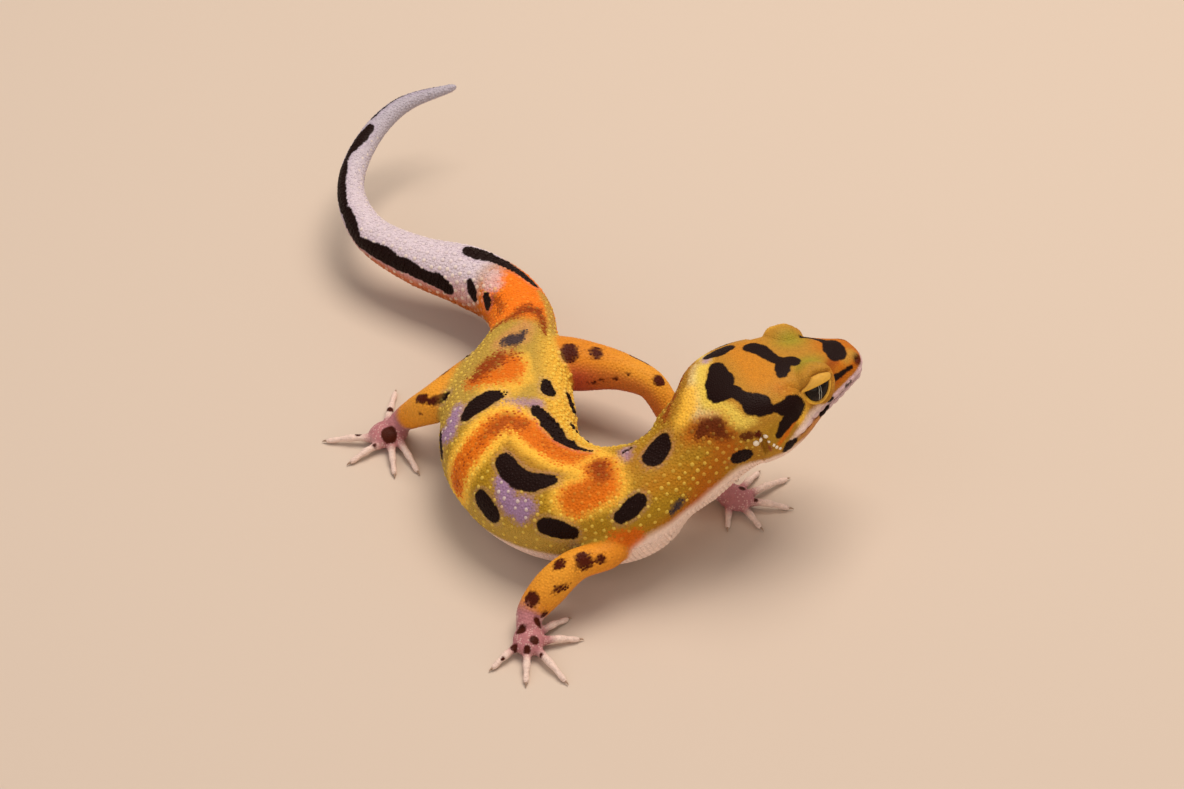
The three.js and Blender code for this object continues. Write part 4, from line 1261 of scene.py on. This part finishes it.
def scatter(points, triangles, weight, spacing, seed):
    """Places and normals spread evenly over the weighted part of a surface, none nearer to another
    than the spacing."""
    piece = make_object("passing", points, [triangles], scale=1.0)
    store_values(piece, "weight", "FLOAT", "value", weight)
    tree = bpy.data.node_groups.new("scatter", "GeometryNodeTree")
    tree.interface.new_socket("Geometry", in_out="INPUT", socket_type="NodeSocketGeometry")
    tree.interface.new_socket("Geometry", in_out="OUTPUT", socket_type="NodeSocketGeometry")
    start = add_node(tree, "NodeGroupInput")
    share = add_node(tree, "GeometryNodeInputNamedAttribute", {"data_type": "FLOAT"}, {"Name": "weight"})
    spread = add_node(tree, "GeometryNodeDistributePointsOnFaces", {"distribute_method": "POISSON"}, {
        "Mesh": start.outputs[0], "Distance Min": spacing, "Density Max": 9.0 / spacing**2,
        "Density Factor": share.outputs["Attribute"], "Seed": seed,
    })
    store = add_node(tree, "GeometryNodeStoreNamedAttribute", {"data_type": "FLOAT_VECTOR"}, {
        "Geometry": spread.outputs["Points"], "Name": "facing", "Value": spread.outputs["Normal"],
    })
    turned = add_node(tree, "GeometryNodePointsToVertices", {}, {"Points": store.outputs[0]})
    add_node(tree, "NodeGroupOutput", {}, {"Geometry": turned.outputs[0]})
    piece.modifiers.new("scatter", "NODES").node_group = tree
    shown = piece.evaluated_get(bpy.context.evaluated_depsgraph_get())
    mesh = shown.to_mesh()
    places = np.empty(len(mesh.vertices) * 3)
    mesh.vertices.foreach_get("co", places)
    facing = np.empty(len(mesh.vertices) * 3, np.float32)
    mesh.attributes["facing"].data.foreach_get("vector", facing)
    shown.to_mesh_clear()
    bpy.data.objects.remove(piece)
    bpy.data.node_groups.remove(tree)
    return places.reshape(-1, 3), unit(facing.reshape(-1, 3).astype(float))


def add_node(tree, kind, settings=None, links=None):
    """Adds a node with its settings, and sets each input to a value or links it to an output."""
    node = tree.nodes.new(kind)
    for key, value in (settings or {}).items():
        setattr(node, key, value)
    for key, value in (links or {}).items():
        socket = node.inputs[key]
        if isinstance(value, bpy.types.NodeSocket):
            tree.links.new(value, socket)
        else:
            socket.default_value = value
    return node


class Surface:
    """The finished skin, for finding the nearest place and its smooth normal."""

    def __init__(self, points, triangles):
        self.normals = mesh_normals(points, triangles)
        self.triangles = triangles
        self.tree = BVHTree.FromPolygons(points.tolist(), triangles.tolist())

    def spots(self, hits):
        """Places and normals of hits on the skin: a normal is the mean of its triangle's corners'."""
        places = np.array([hit[0] for hit in hits])
        return places, unit(self.normals[self.triangles[[hit[2] for hit in hits]]].sum(1))

    def nearest(self, points):
        """The skin's nearest place to each point."""
        return self.spots([self.tree.find_nearest(point) for point in points.tolist()])

    def towards(self, starts, direction):
        """Where rays from the starts meet the skin; starts whose rays miss are dropped."""
        found = [self.tree.ray_cast(start, direction) for start in starts.tolist()]
        return self.spots([hit for hit in found if hit[2] is not None])


# ---------------------------------------------------------------- rows of scales on the body


def rows_on_body(first, last, pitch, spacing, low, high):
    """Places and turns of rows of scales across the body. Rows are a pitch apart, scales stand
    `spacing` apart along each, every other row is shifted by half a step, and turns run between
    low and high on both sides."""
    places = []
    for row, s in enumerate(np.arange(first, last, pitch)):
        size = sizes_at(np.array([s]))[0]
        around = math.pi * (size[0] + (size[1] + size[2]) / 2)
        count = max(6, round(around / spacing))
        turn = (np.arange(count) + 0.5 * (row % 2)) * 360 / count - 180
        kept = (np.abs(turn) >= low) & (np.abs(turn) <= high)
        places.append(np.stack([np.full(kept.sum(), s), turn[kept]], axis=1))
    return np.vstack(places).T


def crowding(s, turn):
    """How much shorter or longer the skin is along the body at a place than along the spine."""
    return np.linalg.norm(body_surface(s + 0.3, turn) - body_surface(s - 0.3, turn), axis=1) / 0.6


def tailward(s):
    """The spine's direction towards the tail."""
    return spine_frames(s)[1]


def limb_direction(where):
    """For each point the direction towards the tail, or down the limb it lies on."""
    along = tailward(where.s)
    for name, (t, _, weight, _) in where.limbs.items():
        along = np.where((weight > 0.5)[:, None], LIMB[name].direction(t), along)
    return along


def tubercle_roots():
    """Roots and sizes of the tubercles: staggered rows over the back, neck and flanks, small ones on
    the temples, and a ring on each whorl of the tail."""
    s, turn = rows_on_body(13.0, 94.0, TUBERCLES["pitch"], TUBERCLES["apart"], 0, 122)
    s = s + chance.normal(0, 0.13, len(s))
    turn = turn + chance.normal(0, 1.2, len(s))
    keep = (s > 23) | (np.abs(turn) > 30)
    keep &= np.abs(turn) < belly_edge(s) - 4
    s, turn = s[keep], turn[keep]
    squeeze = np.clip(crowding(s, turn), 0.5, 1.0)
    radius = TUBERCLES["radius"] * (0.62 + 0.38 * smoothstep(18, 27, s)) * (0.8 + 0.2 * squeeze)
    radius = radius * chance.uniform(0.85, 1.15, len(s))
    tall = TUBERCLES["tall"] * (0.5 + 0.5 * smoothstep(18, 27, s)) * chance.uniform(0.85, 1.15, len(s))
    beaded = smoothstep(15, 35, turn) * rise_fall(46, 52, 84, 92, s)
    radius, tall = radius * (1 + 0.3 * beaded), tall * (1 + 0.6 * beaded)
    whorl_s, whorl_turn = rows_on_body(97.0, 150.0, WHORL, TUBERCLES["apart"], 0, 128)
    grown = smoothstep(152, 108, whorl_s)
    whorl_radius = 0.22 + 0.14 * grown
    return (np.r_[s, whorl_s], np.r_[turn, whorl_turn], np.r_[radius, whorl_radius],
            np.r_[tall, 0.06 + 0.12 * grown])

# ---------------------------------------------------------------- materials


def new_material(name):
    """An empty material with a shader, and its node tree."""
    material = bpy.data.materials.new(name)
    material.use_nodes = True
    material.node_tree.nodes.clear()
    return material, material.node_tree


def noise(tree, place, scale, detail, **more):
    """Soft random clouds from 0 to 1, at places times a scale."""
    links = {"Vector": place, "Scale": scale, "Detail": detail, **more}
    return add_node(tree, "ShaderNodeTexNoise", {}, links).outputs["Fac"]


def work_out(tree, operation, *values):
    """One sum on numbers or on other nodes' results."""
    return add_node(tree, "ShaderNodeMath", {"operation": operation}, dict(enumerate(values))).outputs[0]


def step_up(tree, value, low, high, top=1.0):
    """0 at low and the top at high, with a smoothstep between them."""
    links = {"Value": value, "From Min": low, "From Max": high, "To Max": top}
    return add_node(tree, "ShaderNodeMapRange", {"interpolation_type": "SMOOTHSTEP"}, links).outputs["Result"]


def blend(tree, share, one, other):
    """One colour going over to the other with a share from 0 to 1."""
    return add_node(tree, "ShaderNodeMix", {"data_type": "RGBA"}, {0: share, 6: one, 7: other}).outputs[2]


def attribute(tree, name):
    """A node that reads a named attribute of the mesh."""
    return add_node(tree, "ShaderNodeAttribute", {"attribute_name": name})


def finish_material(tree, colour, look):
    """Gives a material its shader, with its colour and the rest of its look."""
    shader = add_node(tree, "ShaderNodeBsdfPrincipled", {}, {"Base Color": colour, **look})
    add_node(tree, "ShaderNodeOutputMaterial", {}, {"Surface": shader.outputs[0]})


def skin_material(name, roughness, bump_height, gloss):
    """Keratin over living skin. The ground colour and the dark marks come from the surface's own
    attributes; fine noise frays the marks' edges and mottles the colour, and a grain of a sixth of
    a millimetre breaks up the shine."""
    material, tree = new_material(name)
    place = add_node(tree, "ShaderNodeTexCoord").outputs["Object"]
    ground = attribute(tree, "ground")
    fray = noise(tree, place, 1 / (1.1 * MM), 3.0, Roughness=0.6)
    mottle = noise(tree, place, 1 / (0.45 * MM), 2.0)
    edge = work_out(tree, "ADD", attribute(tree, "dark").outputs["Fac"],
                    work_out(tree, "MULTIPLY_ADD", fray, 0.7, -0.35))
    marked = step_up(tree, edge, -0.16, 0.16, ground.outputs["Alpha"])
    varied = add_node(tree, "ShaderNodeMapRange", {}, {
        "Value": mottle, "From Min": 0.3, "From Max": 0.7, "To Min": 0.91, "To Max": 1.09}).outputs["Result"]
    toned = add_node(tree, "ShaderNodeHueSaturation", {}, {
        "Color": ground.outputs["Color"], "Value": varied}).outputs["Color"]
    bump = add_node(tree, "ShaderNodeBump", {}, {
        "Height": noise(tree, place, 1 / (0.16 * MM), 2.0), "Distance": bump_height * MM, "Strength": 1.0})
    finish_material(tree, blend(tree, marked, toned, linear("#1b0703")), {
        "Roughness": roughness, "Normal": bump.outputs["Normal"], "IOR": 1.45, "Specular IOR Level": gloss})
    return material


def eye_material():
    """A wet dark eye: a nearly black iris marbled in dark brown, split by a narrow upright pupil with
    a fine silvery edge, under a clear glossy cornea."""
    material, tree = new_material("moist_eye")
    gaze = attribute(tree, "gaze").outputs["Vector"]
    parts = add_node(tree, "ShaderNodeSeparateXYZ", {}, {0: gaze})
    flat = {"noise_dimensions": "2D"}
    wave = add_node(tree, "ShaderNodeTexNoise", flat, {"Vector": gaze, "Scale": 1.6, "Detail": 1.0})
    veins = add_node(tree, "ShaderNodeTexNoise", flat, {
        "Vector": gaze, "Scale": 3.2, "Detail": 4.0, "Distortion": 1.2})
    leaned = work_out(tree, "MULTIPLY_ADD", parts.outputs["Y"], -0.17, parts.outputs["X"])
    wavy = work_out(tree, "MULTIPLY_ADD", wave.outputs["Fac"], 0.2, leaned)
    width = work_out(tree, "ABSOLUTE", work_out(tree, "SUBTRACT", wavy, 0.25))
    marbled = add_node(tree, "ShaderNodeValToRGB", {}, {"Fac": veins.outputs["Fac"]})
    for stop, place, colour in zip(marbled.color_ramp.elements, (0.42, 0.68), ("#0d0806", "#2a1d14")):
        stop.position = place
        stop.color = linear(colour)
    inner = blend(tree, step_up(tree, width, 0.13, 0.17), linear("#050504"), marbled.outputs["Color"])
    from_edge = work_out(tree, "ABSOLUTE", work_out(tree, "SUBTRACT", width, 0.17))
    line = step_up(tree, from_edge, 0.055, 0.015)
    finish_material(tree, blend(tree, line, inner, linear("#b9b6aa")), {
        "Roughness": 0.07, "IOR": 1.38, "Specular IOR Level": 0.25})
    return material


def claw_material():
    """Horn: hard and smooth, dark amber with paler streaks and a soft shine."""
    material, tree = new_material("claw_horn")
    place = add_node(tree, "ShaderNodeTexCoord").outputs["Object"]
    streak = noise(tree, place, 1 / (0.3 * MM), 2.0)
    tone = blend(tree, streak, linear("#7a5a44"), linear("#b79a82"))
    finish_material(tree, tone, {"Roughness": 0.35, "IOR": 1.54})
    return material


# ---------------------------------------------------------------- making the pieces

surface = Surface(skin_points, skin_triangles)
SKIN = skin_material("gecko_skin", 0.5, 0.02, 0.12)
SCALES = skin_material("gecko_scales", 0.45, 0.008, 0.12)
EYE_WET = eye_material()
HORN = claw_material()


def flesh_nodes():
    """The nodes that the skin stands for: all but the eyes."""
    return [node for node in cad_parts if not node.startswith("eye")]


def make_skin():
    """The skin as one piece with its markings."""
    piece = make_object("skin", skin_points, [skin_triangles])
    add_paint(piece, *paint(skin_where))
    finish_piece(piece, SKIN, flesh_nodes())


def make_eyes():
    """The eyeballs: spheres whose poles face straight out, with the gaze coordinates the iris is
    drawn in."""
    for side, eye in EYES.items():
        local = globe(np.linspace(-89, 89, 61), np.arange(0, 360, 5.0))[..., [0, 2, 1]]
        rings = eye.centre + local @ eye.axes * eye.ball
        points, groups = tube_mesh(rings if side == "right" else rings[:, ::-1])
        piece = make_object("eyeball_" + side, points, groups)
        _, p, q, _ = eye.coords(points)
        store_values(piece, "gaze", "FLOAT_VECTOR", "vector", np.stack([p, q, 0 * p], axis=1))
        finish_piece(piece, EYE_WET, ["eye_" + side])


# The body's regions of granules, from the snout back: the name, the slot and where it ends.
BODY_REGIONS = (
    ("head", "skin_head", 22.5),
    ("neck", "skin_body", 42),
    ("ribs", "skin_body", 61),
    ("loin", "skin_body", 92),
    ("tail", "skin_tail", BODY_LENGTH),
)


def regions(where):
    """The regions that the granules are split into: the name, the slot and which points are in it."""
    on_limb = where.limb_weight >= 0.5
    start = 0
    for name, slot, end in BODY_REGIONS:
        yield name, slot, (where.s >= start) & (where.s < end) & ~on_limb
        start = end
    yield "limbs", "skin_limbs", on_limb & (where.foot_weight < 0.5)
    yield "feet", "skin_feet", where.foot_weight >= 0.5


def make_granules(crowded):
    """The coat of granules: low domes, close together, smaller on the head and feet. Each takes the
    colour of the skin under it, a little lighter or darker."""
    skin = skin_where
    small = np.maximum(smoothstep(24, 20, skin.s) * (1 - skin.limb_weight), skin.foot_weight)
    off_limbs = skin.limb_weight < 0.5
    below = np.abs(skin.turn) - belly_edge(skin.s)
    belly = (below > 1) & (skin.s > 24) & (skin.s < 96) & off_limbs
    from_mouth = np.abs(skin.up - mouth_height(skin.back) - 0.02)
    lips = (from_mouth < 1.05) & (skin.back < LIPS["last"] + 0.4) & off_limbs
    free = ~belly & ~lips & (lid_distances(skin_points)[1] > 0.1)
    roots, normals, radius = [], [], []
    for chosen, kind in ((small > 0.5, FINE_GRANULES), (small <= 0.5, PLAIN_GRANULES)):
        places, facing = scatter(skin_points, skin_triangles, chosen * free, kind["gap"], kind["seed"])
        roots.append(places)
        normals.append(facing)
        radius.append(np.full(len(places), kind["radius"]))
    roots, normals, radius = np.vstack(roots), np.vstack(normals), np.concatenate(radius)
    tree = KDTree(len(crowded))
    for i, root in enumerate(crowded.tolist()):
        tree.insert(root, i)
    tree.balance()
    clear = np.array([tree.find(root)[2] for root in roots.tolist()]) > CLEARANCE
    roots, normals, radius = roots[clear], normals[clear], radius[clear]
    where = Where(roots)
    grain = chance.uniform(-1, 1, len(roots))
    colours, _ = paint(where, grain)
    colours[:, :3] *= (1 + (0.05 + 0.05 * smoothstep(26, 22, where.s)) * grain)[:, None]
    size = radius * chance.uniform(0.9, 1.12, len(roots))
    flat = 0.38 - 0.02 * smoothstep(26, 22, where.s) - 0.1 * where.limb_weight
    sizes = np.stack([size, size, size * flat], axis=1)
    along = limb_direction(where)
    corners = chart(where)
    shape = dome(6, (0.0, 0.72))
    for name, slot, kept in regions(where):
        plant("granules_" + name, shape, roots[kept] - normals[kept] * 0.02, normals[kept], along[kept],
              sizes[kept], colours[kept], corners[kept])


def make_tubercles():
    """The tubercles: pale round domes in rows."""
    s, turn, radius, tall = tubercle_roots()
    roots, normals = surface.nearest(body_surface(s, turn, COAT))
    where = Where(roots)
    kept = (where.limb_weight < 0.3) & (radius > 0.12)
    roots, normals, radius, tall = (x[kept] for x in (roots, normals, radius, tall))
    where = Where(roots)
    colours, _ = paint(where)
    greyish = np.maximum(smoothstep(0.4, 0.8, colours[:, 2] / colours[:, 0]), where.s > 100)[:, None]
    pale = PALETTE["straw"] + (PALETTE["pearl"] - PALETTE["straw"]) * greyish
    greenish = smoothstep(0.24, 0.36, colours[:, 1] / colours[:, 0])
    light = 0.4 * greenish * smoothstep(20, 48, np.abs(where.turn)) + 0.12
    light = light * smoothstep(0.05, 0.2, colours[:, 0])
    light = light * (0.3 + 0.7 * smoothstep(19, 24, where.s))
    colours[:, :3] += (pale - colours[:, :3]) * light[:, None]
    sizes = np.stack([radius, radius, tall], axis=1)
    plant("tubercles", dome(10, (0.0, 0.35, 0.75, 0.95)), roots - normals * 0.03, normals,
          tailward(where.s), sizes, colours, chart(where))
    return roots


def make_belly():
    """The belly's scales: flat, in close rows, each tilted so that its rear edge laps the next."""
    s, turn = rows_on_body(24.5, 96.0, BELLY["pitch"], BELLY["apart"], 100, 180)
    kept = np.abs(turn) > belly_edge(s) - 1
    s, turn = s[kept], turn[kept]
    roots, normals = surface.nearest(body_surface(s, turn, COAT))
    where = Where(roots)
    kept = (where.limb_weight < 0.4) & (np.linalg.norm(roots - body_surface(s, turn, COAT), axis=1) < 1.0)
    roots, normals = roots[kept], normals[kept]
    where = Where(roots)
    along = tailward(where.s)
    normals = unit(normals - along * BELLY["tilt"])
    colours, _ = paint(where)
    colours[:, :3] *= (1 + chance.uniform(-0.05, 0.08, len(roots)))[:, None]
    stretch = np.clip(crowding(where.s, where.turn), 0.5, 1.5)
    even = np.ones(len(roots))
    sizes = np.stack([BELLY["radius"] * stretch, BELLY["radius"] * even, BELLY["tall"] * even], axis=1)
    plant("belly_scales", dome(6, (0.0, 0.8)), roots, normals, along, sizes, colours, chart(where))


# The lip plates: how many a side, where the rows start and end, how far back the snout curves, and
# each row's height from the mouth's line and half height.
LIPS = {"count": 11, "first": 0.35, "last": 14.2, "round": 4.0, "rows": ((0.52, 0.44), (-0.5, 0.4))}


def make_lips():
    """The plates along both lips: flat ovals in one row above the mouth and one below it, longer
    towards the rear. In front they follow the snout's curve and a single plate stands in the middle."""
    roots, normals, along, sizes = [], [], [], []
    share = (np.arange(LIPS["count"]) + 0.5) / LIPS["count"]
    back = LIPS["first"] + (LIPS["last"] - LIPS["first"]) * share**1.15
    step = np.gradient(back)
    for height, tall in LIPS["rows"]:
        for side in (-1, 0, 1):
            for place, length in zip(back if side else back[:1], step):
                turn = side * min(1.0, (place + 0.6) / LIPS["round"]) * math.pi / 2
                start = head_point([max(place, LIPS["round"])], [0.0], [mouth_height(place) + height])
                direction = np.array([math.cos(turn), math.sin(turn), 0.0]) @ HEAD_AXES
                spot, normal = surface.towards(start, direction)
                roots.append(spot)
                normals.append(normal)
                along.append(np.array([[-math.sin(turn), math.cos(turn), 0.0]]) @ HEAD_AXES)
                sizes.append([[0.56 * max(length, 0.95), tall, 0.17]])
    roots, normals, along, sizes = (np.vstack(rows) for rows in (roots, normals, along, sizes))
    where = Where(roots)
    colours, _ = paint(where)
    colours[:, :3] *= chance.uniform(0.92, 1.08, len(roots))[:, None]
    plant("lip_plates", dome(14, (0.0, 0.55, 0.85)), roots - normals * 0.125, normals, along, sizes, colours,
          chart(where))


EAR_PEARLS = ((21.6, -86, 0.5), (20.1, -87, 0.4), (19.3, -86, 0.42), (18.8, -90, 0.26), (18.4, -93, 0.26),
              (18.0, -96, 0.27), (17.6, -99, 0.25))


def make_pearls():
    """White beads along the front and upper edge of each ear hole, the smaller ones further forward."""
    s, turn, radius = np.array(EAR_PEARLS).T
    s, turn, radius = np.r_[s, s], np.r_[turn, -turn], np.r_[radius, radius]
    roots, normals = surface.nearest(body_surface(s, turn, COAT))
    where = Where(roots)
    colours = np.tile(np.r_[PALETTE["pearl"], 0.0], (len(s), 1))
    sizes = np.stack([radius, radius, radius * 0.9], axis=1)
    plant("ear_pearls", dome(12, (0.0, 0.35, 0.7, 0.92)), roots - normals * 0.05, normals, tailward(s), sizes,
          colours, chart(where))


def claw_part(toe):
    """One claw: a cone whose circles shrink along an arc that leaves the toe's tip and bends down."""
    end = toe.axis(np.array([toe.length - 0.25]))[0]
    forward = toe.direction(np.array([toe.length]))[0] * [1, 1, 0]
    forward = forward / np.linalg.norm(forward)
    side = np.cross([0, 0, 1.0], forward)
    turn = np.arange(0, 360, 45) * math.pi / 180
    u = np.linspace(0, 1, 6)
    middle = end + np.outer(0.85 * np.sin(u * 1.3), forward) + np.outer(0.2 * u - 0.5 * u**2, [0, 0, 1.0])
    radius = 0.16 * (1 - u) ** 0.7 + 0.02
    rings = (middle[:, None] + side * (radius[:, None, None] * np.cos(turn)[None, :, None])
             + np.array([0, 0, 1.0]) * (radius[:, None, None] * np.sin(turn)[None, :, None]))
    rings[..., 2] = np.maximum(rings[..., 2], 0.02)
    return tube_mesh(rings[:, ::-1])


def make_claws():
    """A claw on every toe, joined as one piece."""
    points, groups = join_meshes([claw_part(toe) for toes in TOES.values() for toe in toes])
    piece = make_object("claws", points, groups)
    finish_piece(piece, HORN)


make_skin()
make_eyes()
tubercles = make_tubercles()
make_granules(tubercles)
make_belly()
make_lips()
make_pearls()
make_claws()

# ---------------------------------------------------------------- floor, light and camera

AIM = Vector((0.0010, 0.0011, 0.0))
FLOOR_HALF = 3000.0
CAMERA_PLACE = (0.0010, -0.3778, 0.3411)
CAMERA_TILT = 48
LENS = 100.0


def add_object(name, data, place, target=None):
    """A lamp or camera at a place, turned to look at a target where one is given."""
    holder = bpy.data.objects.new(name, data)
    holder.location = place
    if target is not None:
        holder.rotation_euler = (target - Vector(place)).to_track_quat("-Z", "Y").to_euler()
    bpy.context.scene.collection.objects.link(holder)
    return holder


def area_light(name, place, wide, tall, power, colour):
    """A soft panel lamp that looks at the middle of the animal and isn't seen itself."""
    lamp = bpy.data.lights.new(name, "AREA")
    lamp.shape = "RECTANGLE"
    lamp.size = wide
    lamp.size_y = tall
    lamp.energy = power
    lamp.color = linear(colour)[:3]
    add_object(name, lamp, place, AIM).visible_camera = False


def build_stage():
    """A pale floor, a soft lamp high on the left and behind, weak fill light, and the camera."""
    corners = np.array([[-1, -1, 0], [1, -1, 0], [1, 1, 0], [-1, 1, 0]]) * FLOOR_HALF
    floor = make_object("floor", corners, [np.array([[0, 1, 2, 3]])])
    paper, tree = new_material("pale_paper")
    finish_material(tree, linear("#cebeae"), {"Roughness": 0.9})
    floor.data.materials.append(paper)
    area_light("key", (0.12, 0.18, 0.62), 0.4, 0.4, 3.9, "#fff1e4")
    area_light("fill", (-0.40, -0.35, 0.40), 0.6, 0.6, 0.6, "#f4f0ff")
    area_light("bounce", (0.04, -0.55, 0.17), 0.5, 0.3, 0.57, "#ffe6cc")
    world = bpy.data.worlds.new("room")
    world.use_nodes = True
    backdrop = world.node_tree.nodes["Background"]
    backdrop.inputs["Color"].default_value = linear("#f4ede6")
    backdrop.inputs["Strength"].default_value = 0.42
    bpy.context.scene.world = world
    lens = bpy.data.cameras.new("camera")
    lens.lens = LENS
    lens.clip_start = 0.01
    camera = add_object("camera", lens, CAMERA_PLACE)
    camera.rotation_euler = (math.radians(CAMERA_TILT), 0, 0)
    bpy.context.scene.camera = camera
    bpy.context.scene.view_settings.view_transform = "Standard"


build_stage()
